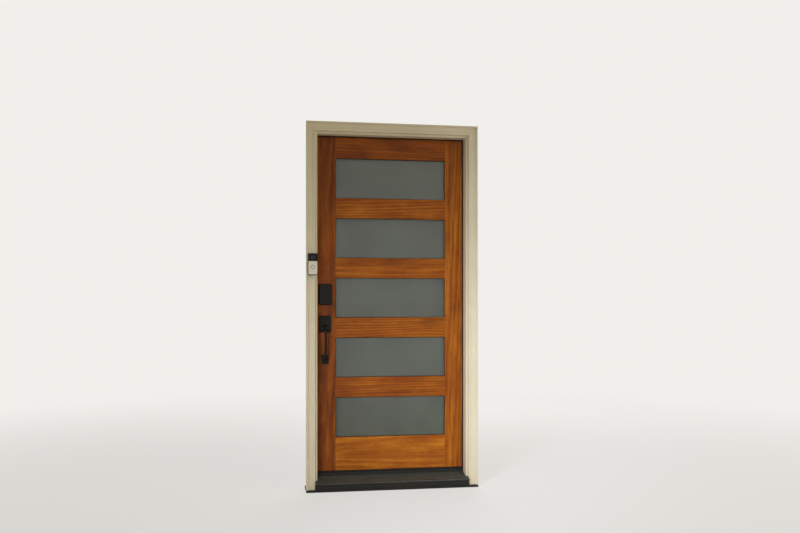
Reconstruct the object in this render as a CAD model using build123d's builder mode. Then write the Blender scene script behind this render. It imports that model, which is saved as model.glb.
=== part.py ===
from build123d import *
import os

os.makedirs("parts", exist_ok=True)

# A front door in its frame, seen from outside: +X to the right, +Y into the house, +Z up.
# Y = 0 is the outside edge of the jambs, where the casing meets the wall.
# Z = 0 is the underside of the sill base, and X = 0 the middle of the doorway.

# Leaf
leaf_width = 914.0
leaf_height = 2007.0
leaf_thickness = 44.5
leaf_gap = 3.0
stile_width = 123.0
top_rail_height = 140.0
cross_rail_height = 118.5
bottom_rail_height = 198.0
lite_count = 5
tenon_thickness = 14.0
tenon_length = 35.0
tenon_shoulder = 12.0
joint_clearance = 0.2
leaf_edge_break = 1.5

# Glazing
lip_width = 12.0
lip_thickness = 11.0
pane_thickness = 4.0
pane_spacing = 11.0
glass_clearance = 2.0
spacer_width = 8.0
spacer_inset = 2.5
bead_chamfer = 6.0
bead_mitre_gap = 0.1
setting_block_length = 60.0

# Jambs
jamb_depth = 116.0
jamb_thickness = 19.0
rabbet_depth = 12.7
seal_gap = 6.4
kerf_width = 3.0
kerf_depth = 9.0
kerf_inset = 5.0
jamb_edge_break = 1.5

# Casing
casing_width = 54.0
casing_thickness = 32.0
casing_reveal = 13.0
casing_bead_thickness = 22.0
casing_bead_width = 13.0
casing_bead_radius = 5.0
casing_cove_radius = 4.0
casing_band_width = 10.0
casing_band_radius = 2.0
casing_flat_rise = 3.0

# Seals
seal_reach = 7.0
seal_clearance = 0.3
seal_tail_thickness = 2.4
seal_end_play = 1.0
sweep_thickness = 3.0
sweep_gap = 11.0
sweep_fin_thickness = 2.2
sweep_fin_count = 3
sweep_inset = 5.0

# Sill
base_height = 11.0
base_front = 46.0
base_nose_radius = 4.0
sill_fit = 0.4
deck_front = 42.0
deck_nose_height = 50.0
deck_back_height = 76.0
deck_thickness = 2.5
deck_lip_height = 7.0
deck_rib_count = 4
deck_rib_size = 1.6
deck_rib_root = 0.5
cap_height = 26.0
cap_bottom = 66.0
cap_nose_radius = 5.0
cap_screw_count = 4
cap_screw_inset = 90.0
substrate_setback = 6.0

# Hinges
hinge_height = 102.0
hinge_reach = 50.8
hinge_backset = 6.4
hinge_plate_thickness = 2.5
hinge_knuckle_radius = 6.4
hinge_knuckle_count = 5
hinge_knuckle_clearance = 0.4
hinge_pin_radius = 3.4
hinge_pin_fit = 0.05
hinge_pin_cap_radius = 5.6
hinge_pin_cap_height = 4.0
hinge_top_offset = 178.0
hinge_bottom_offset = 279.0
hinge_screw_rows = 4
hinge_screw_stagger = 5.5

# Screws
screw_head_radius = 4.4
screw_head_depth = 2.2
screw_shank_radius = 2.1
screw_length = 24.0
screw_fit = 0.1
jamb_screw_setback = 1.0

# Lock bores and bolts
backset = 60.3
latch_height = 882.0
lock_spacing = 139.7
cross_bore_radius = 27.0
edge_bore_radius = 12.8
case_radius = 12.4
case_tail_height = 22.0
case_tail_width = 12.0
case_tail_reach = 12.0
faceplate_height = 57.0
faceplate_width = 25.4
faceplate_thickness = 2.6
faceplate_radius = 6.0
bolt_clearance = 0.35
bolt_recess = 0.4
latch_bolt_width = 14.0
latch_bolt_height = 16.0
latch_throw = 12.7
latch_hold = 17.3
latch_face_flat = 1.5
latch_nose = 3.0
deadbolt_width = 14.0
deadbolt_height = 19.0
deadbolt_throw = 25.4
deadbolt_hold = 18.6
deadbolt_edge_radius = 3.0
strike_height = 70.0
strike_width = 30.0
strike_thickness = 2.0
strike_play = 2.0
strike_screw_spacing = 50.0
lock_block_margin = 20.0
glue_line = 0.1

# Handle set, outside
plate_width = 70.0
plate_height = 100.0
plate_thickness = 9.0
plate_radius = 5.0
plate_bevel = 2.0
plate_drop = 6.0
foot_plate_width = 40.0
foot_plate_height = 57.0
foot_plate_drop = 216.0
grip_width = 15.0
grip_depth = 11.0
grip_edge_radius = 3.0
grip_projection = 50.0
grip_corner_radius = 13.0
grip_top_drop = 40.0
thumb_drop = 17.0
thumb_width = 22.0
thumb_length = 33.0
thumb_thickness = 4.0
thumb_tilt = 6.0
thumb_pin_radius = 2.0
thumb_pin_length = 30.0
thumb_pin_fit = 0.05
thumb_slot_height = 8.0
thumb_slot_play = 1.0
thumb_tail_length = 12.0
thumb_tail_width = 10.0

# Keypad lock, outside
keypad_width = 78.0
keypad_height = 125.0
keypad_depth = 24.0
keypad_rise = 30.0
keypad_radius = 10.0
keypad_taper = 3.0
keypad_face_inset = 5.5
keypad_face_proud = 0.8
keypad_face_depth = 1.6

# Knob and thumb turn, inside
rose_radius = 33.0
rose_thickness = 9.0
rose_edge = 3.0
rose_neck_radius = 15.0
rose_neck_length = 5.0
knob_radius = 27.0
knob_neck_radius = 10.5
knob_neck_length = 16.0
knob_flare = 3.0
knob_shoulder = 6.0
knob_depth = 32.0
knob_crown = 5.0
knob_round = 2.0
knob_widest_share = 0.4
spindle_radius = 4.45
spindle_fit = 0.05
knob_gap = 0.4
turn_housing_width = 68.0
turn_housing_depth = 26.0
turn_base_radius = 15.0
turn_base_depth = 5.0
turn_paddle_length = 38.0
turn_paddle_width = 9.0
turn_paddle_depth = 17.0
turn_paddle_taper = 2.0
turn_edge_radius = 2.0
lock_end_play = 1.0
lock_bolt_radius = 2.4
lock_bolt_offset = 19.5
rose_bolt_spread = 15.0
rose_bolt_rise = 16.0
lock_bolt_head_radius = 4.2
lock_bolt_head_depth = 2.5
foot_bolt_head_radius = 9.0
foot_bolt_head_depth = 3.0
foot_bolt_edge = 1.0

# Bell push on the casing
bell_width = 58.0
bell_height = 126.0
bell_depth = 24.0
bell_radius = 9.0
bell_middle_height = 1330.0
bell_edge_inset = 8.0
bell_lens_height = 46.0
bell_face_inset = 3.0
bell_face_depth = 2.0
bell_lens_radius = 8.0
bell_lens_rise = 2.0
bell_button_radius = 11.5
bell_button_rise = 1.6
bell_button_edge = 1.0
bell_button_raise = 6.0
bell_button_travel = 1.2
bell_button_gap = 0.4
bell_button_stem_radius = 7.0
bell_button_stem_length = 5.0

# Wall fixings
wall_screw_radius = 3.0
wall_screw_low = 310.0
wall_screw_drop = 303.0

# How far a cutting shape runs past the face it opens, and a joined one into its neighbour
overrun = 1.0

# Places worked out from the sizes above
leaf_front = jamb_depth - leaf_thickness
leaf_back = jamb_depth
leaf_middle = (leaf_front + leaf_back) / 2
leaf_edge = leaf_width / 2
cap_top = cap_bottom + cap_height
leaf_bottom = cap_top + sweep_gap
leaf_top = leaf_bottom + leaf_height
sight_edge = leaf_edge - stile_width
lite_height = (
    leaf_height - top_rail_height - bottom_rail_height - (lite_count - 1) * cross_rail_height
) / lite_count
lite_pitch = lite_height + cross_rail_height
lite_bottoms = [leaf_bottom + bottom_rail_height + i * lite_pitch for i in range(lite_count)]
lip_back = leaf_front + lip_thickness
rabbet_edge = leaf_edge + leaf_gap
stop_edge = rabbet_edge - rabbet_depth
jamb_edge = rabbet_edge + jamb_thickness
shoulder = leaf_front - seal_gap
head_rabbet = leaf_top + leaf_gap
head_stop = head_rabbet - rabbet_depth
casing_edge = stop_edge + casing_reveal
casing_outer = casing_edge + casing_width
casing_under = head_stop + casing_reveal
casing_top = casing_under + casing_width
lock_x = -leaf_edge + backset
latch_z = leaf_bottom + latch_height
deadbolt_z = latch_z + lock_spacing
keypad_z = deadbolt_z + keypad_rise
unit_pane_back = lip_back + 2 * pane_thickness + pane_spacing
bell_offset = casing_outer - bell_edge_inset - bell_width / 2
wall_screw_high = head_rabbet - wall_screw_drop
lock_block_low = latch_z - strike_height / 2 - lock_block_margin
lock_block_high = deadbolt_z + strike_height / 2 + lock_block_margin
latch_bolt_length = latch_throw + latch_hold
deadbolt_length = deadbolt_throw + deadbolt_hold
hinge_x = leaf_edge + leaf_gap / 2
hinge_y = leaf_front + hinge_backset + hinge_reach
hinge_low = leaf_bottom + hinge_bottom_offset + hinge_height / 2
hinge_high = leaf_top - hinge_top_offset - hinge_height / 2
hinge_middles = [hinge_low, (hinge_low + hinge_high) / 2, hinge_high]


def save(part, name):
    """Label one finished piece and write its file."""
    part.label = name
    export_step(part, f"parts/{name}.step")


def block(x0, x1, y0, y1, z0, z1, mode=Mode.ADD):
    """A box between two corners, for use inside a part."""
    with Locations(((x0 + x1) / 2, (y0 + y1) / 2, (z0 + z1) / 2)):
        Box(abs(x1 - x0), abs(y1 - y0), abs(z1 - z0), mode=mode)


def rod_y(x, z, radius, y0, y1, mode=Mode.ADD):
    """A round bar or bore along Y, for use inside a part."""
    with Locations(Location((x, (y0 + y1) / 2, z), (90, 0, 0))):
        Cylinder(radius, abs(y1 - y0), mode=mode)


def rod_x(y, z, radius, x0, x1, mode=Mode.ADD):
    """A round bar or bore along X, for use inside a part."""
    with Locations(Location(((x0 + x1) / 2, y, z), (0, 90, 0))):
        Cylinder(radius, abs(x1 - x0), mode=mode)


def flat_screw(head_radius, head_depth, shank_radius, length):
    """A countersunk screw along -Z with the top of its head at the origin."""
    with BuildPart() as screw:
        with BuildSketch(Plane.XZ):
            with BuildLine():
                Polyline(
                    (0, 0),
                    (head_radius, 0),
                    (shank_radius, -head_depth),
                    (shank_radius, -length),
                    (0, -length),
                    close=True,
                )
            make_face()
        revolve(axis=Axis.Z)
    return screw.part


def screw_group(places, head_radius=screw_head_radius, head_depth=screw_head_depth,
                shank_radius=screw_shank_radius, length=screw_length):
    """One solid screw at each place, heads outwards along each place's own +Z."""
    screw = flat_screw(head_radius, head_depth, shank_radius, length)
    with BuildPart() as group:
        with Locations(*places):
            add(screw)
    return group.part


def screw_seats(places, depth, head_radius=screw_head_radius, head_depth=screw_head_depth,
                shank_radius=screw_shank_radius):
    """Countersunk holes with a small clearance round the screws, cut from the part in hand."""
    seat = flat_screw(head_radius + screw_fit, head_depth + screw_fit, shank_radius + screw_fit, depth)
    with Locations(*places):
        add(seat, mode=Mode.SUBTRACT)


# Stiles: full height, rebated behind the lip for the glass and mortised for the rails
def rail_spans():
    """Bottom and top of each rail, from the bottom rail up."""
    spans = [(leaf_bottom, lite_bottoms[0])]
    for low in lite_bottoms[:-1]:
        spans.append((low + lite_height, low + lite_pitch))
    spans.append((leaf_top - top_rail_height, leaf_top))
    return spans


def tenon_span(span):
    """Bottom and top of the tenon on a rail, clear of the glass rebates."""
    return span[0] + lip_width + tenon_shoulder, span[1] - lip_width - tenon_shoulder


def stile_blank(side):
    """A stile with its glass rebates and mortises; side is -1 for the lock and 1 for the hinges."""
    with BuildPart() as stile:
        block(side * sight_edge, side * leaf_edge, leaf_front, leaf_back, leaf_bottom, leaf_top)
        long_edges = stile.edges().filter_by(Axis.Z)
        chamfer(long_edges.group_by(Axis.X)[0 if side < 0 else -1], leaf_edge_break)
        chamfer(stile.edges().filter_by(Axis.X).group_by(Axis.Z)[0].sort_by(Axis.Y)[0], leaf_edge_break)
        for low in lite_bottoms:
            block(side * sight_edge, side * (sight_edge + lip_width), lip_back, leaf_back,
                  low - lip_width, low + lite_height + lip_width, mode=Mode.SUBTRACT)
        for span in rail_spans():
            low, high = tenon_span(span)
            half = tenon_thickness / 2 + joint_clearance
            block(side * sight_edge, side * (sight_edge + tenon_length + joint_clearance),
                  leaf_middle - half, leaf_middle + half,
                  low - joint_clearance, high + joint_clearance, mode=Mode.SUBTRACT)
    return stile.part


with BuildPart() as lock_stile:
    add(stile_blank(-1))
    for z in (latch_z, deadbolt_z):
        rod_y(lock_x, z, cross_bore_radius, leaf_front, leaf_back, mode=Mode.SUBTRACT)
        rod_x(leaf_middle, z, edge_bore_radius, -leaf_edge, lock_x, mode=Mode.SUBTRACT)
        with BuildSketch(Plane.YZ.offset(-leaf_edge)):
            with Locations((leaf_middle, z)):
                RectangleRounded(faceplate_width + 2 * joint_clearance,
                                 faceplate_height + 2 * joint_clearance, faceplate_radius)
        extrude(amount=faceplate_thickness, mode=Mode.SUBTRACT)
    rod_y(lock_x, latch_z - foot_plate_drop, lock_bolt_radius + joint_clearance,
          leaf_front, leaf_back, mode=Mode.SUBTRACT)
save(lock_stile.part, "lock_stile")

with BuildPart() as hinge_stile:
    add(stile_blank(1))
    for z in hinge_middles:
        block(leaf_edge - hinge_plate_thickness, leaf_edge, leaf_front + hinge_backset, leaf_back,
              z - hinge_height / 2, z + hinge_height / 2, mode=Mode.SUBTRACT)
save(hinge_stile.part, "hinge_stile")


# Rails: between the stiles, with a stub tenon at each end
def rail(span, glass_below, glass_above):
    """A rail with a glass rebate on each edge that meets a lite."""
    low, high = span
    with BuildPart() as bar:
        block(-sight_edge, sight_edge, leaf_front, leaf_back, low, high)
        if not glass_below:
            chamfer(bar.edges().filter_by(Axis.X).group_by(Axis.Z)[0].sort_by(Axis.Y)[0], leaf_edge_break)
        if glass_below:
            block(-sight_edge, sight_edge, lip_back, leaf_back, low, low + lip_width,
                  mode=Mode.SUBTRACT)
        if glass_above:
            block(-sight_edge, sight_edge, lip_back, leaf_back, high - lip_width, high,
                  mode=Mode.SUBTRACT)
        tenon_low, tenon_high = tenon_span(span)
        reach = sight_edge + tenon_length
        block(-reach, reach, leaf_middle - tenon_thickness / 2, leaf_middle + tenon_thickness / 2,
              tenon_low, tenon_high)
    return bar.part


rails = rail_spans()
save(rail(rails[0], False, True), "bottom_rail")
for number, span in enumerate(rails[1:-1], start=1):
    save(rail(span, True, True), f"cross_rail_{number}")
save(rail(rails[-1], True, False), "top_rail")

# Insulating glass: an outer and an inner pane on a spacer, five of each
pane_half_width = sight_edge + lip_width - glass_clearance
pane_height = lite_height + 2 * (lip_width - glass_clearance)


def pane(low, y0, corner):
    """One pane whose lower edge stands on the setting blocks."""
    with BuildPart() as sheet:
        with BuildSketch(Plane.XZ.offset(-y0)):
            with Locations((0, low - lip_width + glass_clearance + pane_height / 2)):
                RectangleRounded(2 * pane_half_width, pane_height, corner)
        extrude(amount=-pane_thickness)
    return sheet.part


for number, low in enumerate(lite_bottoms, start=1):
    save(pane(low, lip_back, glass_clearance), f"outer_lite_{number}")

with BuildPart() as inner_lites:
    for low in lite_bottoms:
        add(pane(low, lip_back + pane_thickness + pane_spacing, glass_clearance))
save(inner_lites.part, "inner_lites")

with BuildPart() as glass_spacers:
    for low in lite_bottoms:
        with BuildSketch(Plane.XZ.offset(-(lip_back + pane_thickness))):
            with Locations((0, low - lip_width + glass_clearance + pane_height / 2)):
                Rectangle(2 * (pane_half_width - spacer_inset), pane_height - 2 * spacer_inset)
                Rectangle(2 * (pane_half_width - spacer_inset - spacer_width),
                          pane_height - 2 * (spacer_inset + spacer_width), mode=Mode.SUBTRACT)
        extrude(amount=-pane_spacing)
save(glass_spacers.part, "glass_spacers")

with BuildPart() as setting_blocks:
    for low in lite_bottoms:
        for x in (-sight_edge / 2, sight_edge / 2):
            block(x - setting_block_length / 2, x + setting_block_length / 2,
                  lip_back, unit_pane_back, low - lip_width, low - lip_width + glass_clearance)
save(setting_blocks.part, "setting_blocks")


# Glazing beads: four mitred sticks round each lite, bevelled towards the glass
def bead_stick(length):
    """A stick along X with its long face down at Z = 0 and mitred ends, its back at Y = 0."""
    depth = leaf_back - unit_pane_back
    with BuildPart() as stick:
        with BuildSketch(Plane.XZ):
            with BuildLine():
                Polyline(
                    (-length / 2 + bead_mitre_gap, 0),
                    (length / 2 - bead_mitre_gap, 0),
                    (length / 2 - bead_mitre_gap - lip_width, lip_width),
                    (-length / 2 + bead_mitre_gap + lip_width, lip_width),
                    close=True,
                )
            make_face()
        extrude(amount=-depth)
        inner_edges = stick.edges().filter_by(Axis.X).group_by(Axis.Z)[-1]
        chamfer(inner_edges.sort_by(Axis.Y)[-1], bead_chamfer)
    return stick.part


with BuildPart() as glazing_beads:
    bead_width = 2 * (sight_edge + lip_width - joint_clearance)
    bead_height = lite_height + 2 * (lip_width - joint_clearance)
    wide_stick = bead_stick(bead_width)
    tall_stick = bead_stick(bead_height)
    for low in lite_bottoms:
        middle = low + lite_height / 2
        for turn in (0, 180):
            drop = -bead_height / 2 if turn == 0 else bead_height / 2
            with Locations(Location((0, unit_pane_back, middle + drop), (0, turn, 0))):
                add(wide_stick)
            side = -bead_width / 2 if turn == 0 else bead_width / 2
            with Locations(Location((side, unit_pane_back, middle), (0, 90 + turn, 0))):
                add(tall_stick)
save(glazing_beads.part, "glazing_beads")

# Door sweep: a soft strip under the leaf whose fins brush the sill cap
with BuildPart() as door_sweep:
    sweep_half = leaf_edge - seal_end_play
    sweep_front = leaf_front + sweep_inset
    sweep_back = leaf_back - sweep_inset
    block(-sweep_half, sweep_half, sweep_front, sweep_back, leaf_bottom - sweep_thickness, leaf_bottom)
    fin_pitch = (sweep_back - sweep_front - sweep_fin_thickness) / (sweep_fin_count - 1)
    for i in range(sweep_fin_count):
        y = sweep_front + i * fin_pitch
        block(-sweep_half, sweep_half, y, y + sweep_fin_thickness, cap_top + seal_clearance, leaf_bottom)
save(door_sweep.part, "door_sweep")


# Jambs: rabbeted for the leaf, with a kerf in the shoulder for the seal
def head_place(across, depth):
    """A point of a jamb section turned into the head's sketch."""
    return depth, across - rabbet_edge + head_rabbet


def jamb_outline(place):
    """The jamb's section, its thickness and depth turned into sketch points by place."""
    seal_line = rabbet_edge - kerf_inset
    Polyline(
        place(jamb_edge, 0),
        place(stop_edge + jamb_edge_break, 0),
        place(stop_edge, jamb_edge_break),
        place(stop_edge, shoulder - jamb_edge_break),
        place(stop_edge + jamb_edge_break, shoulder),
        place(seal_line - kerf_width, shoulder),
        place(seal_line - kerf_width, shoulder - kerf_depth),
        place(seal_line, shoulder - kerf_depth),
        place(seal_line, shoulder),
        place(rabbet_edge, shoulder),
        place(rabbet_edge, jamb_depth),
        place(jamb_edge, jamb_depth),
        close=True,
    )


def jamb_length(side, low, high):
    """A straight length of a side jamb between two heights."""
    with BuildPart() as length:
        with BuildSketch(Plane.XY.offset(low)):
            with BuildLine():
                jamb_outline(lambda across, depth: (side * across, depth))
            make_face()
        extrude(amount=high - low)
    return length.part


def side_jamb(side, spans):
    """A leg of the frame in one or more lengths, cut back at the top where the head's stop crosses it."""
    with BuildPart() as leg:
        for low, high in spans:
            add(jamb_length(side, low, high))
        block(side * (stop_edge - overrun), side * (jamb_edge + overrun), -overrun, shoulder,
              head_stop, head_rabbet + overrun, mode=Mode.SUBTRACT)
        for z in (wall_screw_low, wall_screw_high):
            rod_x(leaf_middle, z, wall_screw_radius, side * rabbet_edge, side * jamb_edge,
                  mode=Mode.SUBTRACT)
    return leg.part


def strike_places(z):
    """Screw places in a strike plate, heads towards the doorway."""
    half = strike_screw_spacing / 2
    return [Location((-rabbet_edge, leaf_middle, z + dz), (0, 90, 0)) for dz in (-half, half)]


# The strike jamb is in two lengths, with the lock block between them that holds both strikes
save(side_jamb(-1, ((base_height, lock_block_low), (lock_block_high, head_rabbet))), "strike_jamb")

# Lock block: glued up from straight bars that leave a mortise for each bolt between them
mortise_half = max(latch_bolt_width, deadbolt_width) / 2 + strike_play
mortise_front = leaf_middle - mortise_half
mortise_back = leaf_middle + mortise_half
with BuildPart() as lock_block:
    add(jamb_length(-1, lock_block_low, lock_block_high))
    for front in (shoulder, mortise_front - glue_line, mortise_back):
        block(-jamb_edge, -rabbet_edge, front, front + glue_line, lock_block_low, lock_block_high,
              mode=Mode.SUBTRACT)
    for z, bolt_height in ((latch_z, latch_bolt_height), (deadbolt_z, deadbolt_height)):
        half = bolt_height / 2 + strike_play
        block(-jamb_edge, -rabbet_edge, mortise_front, mortise_back, z - half, z + half,
              mode=Mode.SUBTRACT)
        block(-rabbet_edge - strike_thickness, -rabbet_edge,
              leaf_middle - strike_width / 2, leaf_middle + strike_width / 2,
              z - strike_height / 2, z + strike_height / 2, mode=Mode.SUBTRACT)
save(lock_block.part, "lock_block")

with BuildPart() as hinge_jamb:
    add(side_jamb(1, ((base_height, head_rabbet),)))
    for z in hinge_middles:
        block(rabbet_edge, rabbet_edge + hinge_plate_thickness, leaf_front + hinge_backset, jamb_depth,
              z - hinge_height / 2, z + hinge_height / 2, mode=Mode.SUBTRACT)
save(hinge_jamb.part, "hinge_jamb")

with BuildPart() as head_jamb:
    with BuildSketch(Plane.YZ):
        with BuildLine():
            jamb_outline(head_place)
        make_face()
    extrude(amount=jamb_edge, both=True)
save(head_jamb.part, "head_jamb")


# Seals: a foam bead on a barbed tail, along both legs and the head
def seal_bead(place):
    """The bead's section, round at the edge that shows beside the leaf."""
    near = shoulder
    far = leaf_front - seal_clearance
    radius = (far - near) / 2
    tip = stop_edge - seal_reach
    root = rabbet_edge - seal_end_play
    Line(place(root, near), place(tip + radius, near))
    ThreePointArc(place(tip + radius, near), place(tip, near + radius), place(tip + radius, far))
    Line(place(tip + radius, far), place(root, far))
    Line(place(root, far), place(root, near))


def seal_tail(place):
    """The tail's section, in the middle of the kerf."""
    middle = rabbet_edge - kerf_inset - kerf_width / 2
    half = seal_tail_thickness / 2
    end = shoulder - kerf_depth + seal_end_play
    Polyline(
        place(middle - half, shoulder),
        place(middle + half, shoulder),
        place(middle + half, end),
        place(middle - half, end),
        close=True,
    )


with BuildPart() as weatherstrips:
    seal_foot = cap_top + sweep_gap / 2
    for side in (-1, 1):
        with BuildSketch(Plane.XY.offset(seal_foot)):
            with BuildLine():
                seal_bead(lambda across, depth: (side * across, depth))
            make_face()
        extrude(amount=head_rabbet - seal_end_play - seal_foot)
        with BuildSketch(Plane.XY.offset(seal_foot)):
            with BuildLine():
                seal_tail(lambda across, depth: (side * across, depth))
            make_face()
        extrude(amount=head_stop - seal_foot)
    with BuildSketch(Plane.YZ):
        with BuildLine():
            seal_bead(head_place)
        make_face()
    extrude(amount=stop_edge - seal_reach, both=True)
    with BuildSketch(Plane.YZ):
        with BuildLine():
            seal_tail(head_place)
        make_face()
    extrude(amount=stop_edge - seal_reach, both=True)
save(weatherstrips.part, "weatherstrips")


# Casing: a moulded section with a bead inside and a thick band outside, mitred at the top
def casing_outline(place):
    """The casing's section: u runs outwards from the inner edge and t out from the wall."""
    lean = 0.5 ** 0.5
    bead = casing_bead_radius
    cove = casing_cove_radius
    band = casing_band_radius
    top = casing_bead_thickness
    cove_u = casing_bead_width + cove
    band_u = casing_width - casing_band_width
    floor_t = top - cove
    Line(place(0, 0), place(0, top - bead))
    ThreePointArc(place(0, top - bead), place(bead - bead * lean, top - bead + bead * lean),
                  place(bead, top))
    Line(place(bead, top), place(casing_bead_width, top))
    ThreePointArc(place(casing_bead_width, top), place(cove_u - cove * lean, top - cove * lean),
                  place(cove_u, floor_t))
    Line(place(cove_u, floor_t), place(band_u - band, floor_t + casing_flat_rise))
    Line(place(band_u - band, floor_t + casing_flat_rise), place(band_u, casing_thickness))
    Line(place(band_u, casing_thickness), place(casing_width - band, casing_thickness))
    ThreePointArc(place(casing_width - band, casing_thickness),
                  place(casing_width - band + band * lean, casing_thickness - band + band * lean),
                  place(casing_width, casing_thickness - band))
    Line(place(casing_width, casing_thickness - band), place(casing_width, 0))
    Line(place(casing_width, 0), place(0, 0))


def mitre(side):
    """The plane of a mitred corner, its normal up and towards the middle."""
    return Plane(origin=(side * casing_edge, 0, casing_under), x_dir=(0, 1, 0), z_dir=(-side, 0, 1))


def casing_leg(side):
    """A side casing from the sill base up to its mitre."""
    with BuildPart() as leg:
        with BuildSketch(Plane.XY.offset(base_height)):
            with BuildLine():
                casing_outline(lambda u, t: (side * (casing_edge + u), -t))
            make_face()
        extrude(amount=casing_top - base_height)
        split(bisect_by=mitre(side), keep=Keep.BOTTOM)
    return leg.part


save(casing_leg(-1), "brickmould_left")
save(casing_leg(1), "brickmould_right")

with BuildPart() as brickmould_head:
    with BuildSketch(Plane.YZ):
        with BuildLine():
            casing_outline(lambda u, t: (-t, casing_under + u))
        make_face()
    extrude(amount=casing_outer, both=True)
    for side in (-1, 1):
        split(bisect_by=mitre(side), keep=Keep.TOP)
save(brickmould_head.part, "brickmould_head")

# Sill: a base board under all, a sloping metal deck on a core, and an adjustable cap
with BuildPart() as sill_base:
    block(-casing_outer, casing_outer, -base_front, jamb_depth, 0, base_height)
    fillet(sill_base.edges().filter_by(Axis.X).group_by(Axis.Y)[0].sort_by(Axis.Z)[-1], base_nose_radius)
save(sill_base.part, "sill_base")


def trim_to_jambs(low, high):
    """Cut the part in hand back to the stops and to the rabbets."""
    for side in (-1, 1):
        block(side * (stop_edge - sill_fit), side * casing_outer, -sill_fit, shoulder + sill_fit,
              low, high, mode=Mode.SUBTRACT)
        block(side * (rabbet_edge - sill_fit), side * casing_outer, shoulder + sill_fit,
              jamb_depth + overrun, low, high, mode=Mode.SUBTRACT)


deck_back = shoulder
deck_slope = (deck_back_height - deck_nose_height) / (deck_back + deck_front)


def deck_top(y):
    """Height of the deck's top at a depth."""
    return deck_nose_height + deck_slope * (y + deck_front)


with BuildPart() as sill_deck:
    with BuildSketch(Plane.YZ):
        with BuildLine():
            Polyline(
                (-deck_front, deck_nose_height),
                (deck_back, deck_back_height),
                (deck_back, deck_back_height - deck_thickness),
                (-deck_front + deck_thickness, deck_top(-deck_front + deck_thickness) - deck_thickness),
                (-deck_front + deck_thickness, deck_nose_height - deck_lip_height),
                (-deck_front, deck_nose_height - deck_lip_height),
                close=True,
            )
        make_face()
    extrude(amount=casing_edge - sill_fit, both=True)
    rib_pitch = (deck_back + deck_front) / (deck_rib_count + 1)
    with BuildSketch(Plane.YZ):
        for i in range(deck_rib_count):
            rib_y = -deck_front + (i + 1) * rib_pitch
            with BuildLine():
                Polyline(
                    (rib_y - deck_rib_size, deck_top(rib_y - deck_rib_size) - deck_rib_root),
                    (rib_y - deck_rib_size, deck_top(rib_y - deck_rib_size)),
                    (rib_y, deck_top(rib_y) + deck_rib_size),
                    (rib_y + deck_rib_size, deck_top(rib_y + deck_rib_size)),
                    (rib_y + deck_rib_size, deck_top(rib_y + deck_rib_size) - deck_rib_root),
                    close=True,
                )
            make_face()
    extrude(amount=stop_edge - sill_fit, both=True)
    trim_to_jambs(0, cap_top)
save(sill_deck.part, "sill_deck")

with BuildPart() as sill_substrate:
    core_front = -deck_front + substrate_setback
    with BuildSketch(Plane.YZ):
        with BuildLine():
            Polyline(
                (core_front, base_height),
                (core_front, deck_top(core_front) - deck_thickness),
                (deck_back, deck_top(deck_back) - deck_thickness),
                (deck_back, cap_bottom),
                (jamb_depth, cap_bottom),
                (jamb_depth, base_height),
                close=True,
            )
        make_face()
    extrude(amount=casing_edge - sill_fit, both=True)
    trim_to_jambs(0, cap_top)
save(sill_substrate.part, "sill_substrate")

cap_front = shoulder + sill_fit
cap_screw_span = leaf_width - 2 * cap_screw_inset
cap_screw_places = [
    Location((-cap_screw_span / 2 + i * cap_screw_span / (cap_screw_count - 1),
              (cap_front + jamb_depth) / 2, cap_top))
    for i in range(cap_screw_count)
]
with BuildPart() as sill_cap:
    block(-rabbet_edge + sill_fit, rabbet_edge - sill_fit, cap_front, jamb_depth, cap_bottom, cap_top)
    fillet(sill_cap.edges().filter_by(Axis.X).group_by(Axis.Z)[-1], cap_nose_radius)
    screw_seats(cap_screw_places, cap_height)
save(sill_cap.part, "sill_cap")
save(screw_group(cap_screw_places, length=cap_height), "sill_cap_screws")


# Hinges: two plates let into leaf and jamb, with knuckles in turn on one loose pin
knuckle_height = hinge_height / hinge_knuckle_count


def hinge_screw_places(x, facing, z_middle):
    """Staggered screw places in one plate; facing is the way the heads look along X."""
    pitch = hinge_height / hinge_screw_rows
    plate_middle = (leaf_front + hinge_backset + leaf_back) / 2
    places = []
    for i in range(hinge_screw_rows):
        stagger = hinge_screw_stagger if i % 2 else -hinge_screw_stagger
        z = z_middle - hinge_height / 2 + (i + 0.5) * pitch
        places.append(Location((x, plate_middle + stagger, z), (0, 90 * facing, 0)))
    return places


def hinge_plate(side, z_middle, own_knuckles):
    """A plate with its knuckles; side is -1 for the leaf's plate and 1 for the jamb's."""
    inner = hinge_x + side * leaf_gap / 2
    outer = inner + side * hinge_plate_thickness
    low = z_middle - hinge_height / 2
    sweep_radius = hinge_knuckle_radius + hinge_knuckle_clearance
    with BuildPart() as plate:
        block(inner, outer, hinge_y - hinge_reach, hinge_y, low, low + hinge_height)
        for i in range(hinge_knuckle_count):
            z0 = low + i * knuckle_height
            if i in own_knuckles:
                with Locations((hinge_x, hinge_y, z0 + knuckle_height / 2)):
                    Cylinder(hinge_knuckle_radius, knuckle_height - hinge_knuckle_clearance)
            else:
                with Locations((hinge_x, hinge_y, z0 + knuckle_height / 2)):
                    Cylinder(sweep_radius, knuckle_height, mode=Mode.SUBTRACT)
        for i in range(hinge_knuckle_count - 1):
            z1 = low + (i + 1) * knuckle_height
            half = hinge_knuckle_clearance / 2
            block(hinge_x - sweep_radius, hinge_x + sweep_radius, hinge_y - sweep_radius,
                  hinge_y + sweep_radius, z1 - half, z1 + half, mode=Mode.SUBTRACT)
        with Locations((hinge_x, hinge_y, z_middle)):
            Cylinder(hinge_pin_radius + hinge_pin_fit, hinge_height, mode=Mode.SUBTRACT)
        screw_seats(hinge_screw_places(inner, -side, z_middle), 2 * hinge_plate_thickness)
    return plate.part


for number, z in enumerate(hinge_middles, start=1):
    save(hinge_plate(1, z, (0, 2, 4)), f"hinge_jamb_leaf_{number}")
    save(hinge_plate(-1, z, (1, 3)), f"hinge_door_leaf_{number}")

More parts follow.
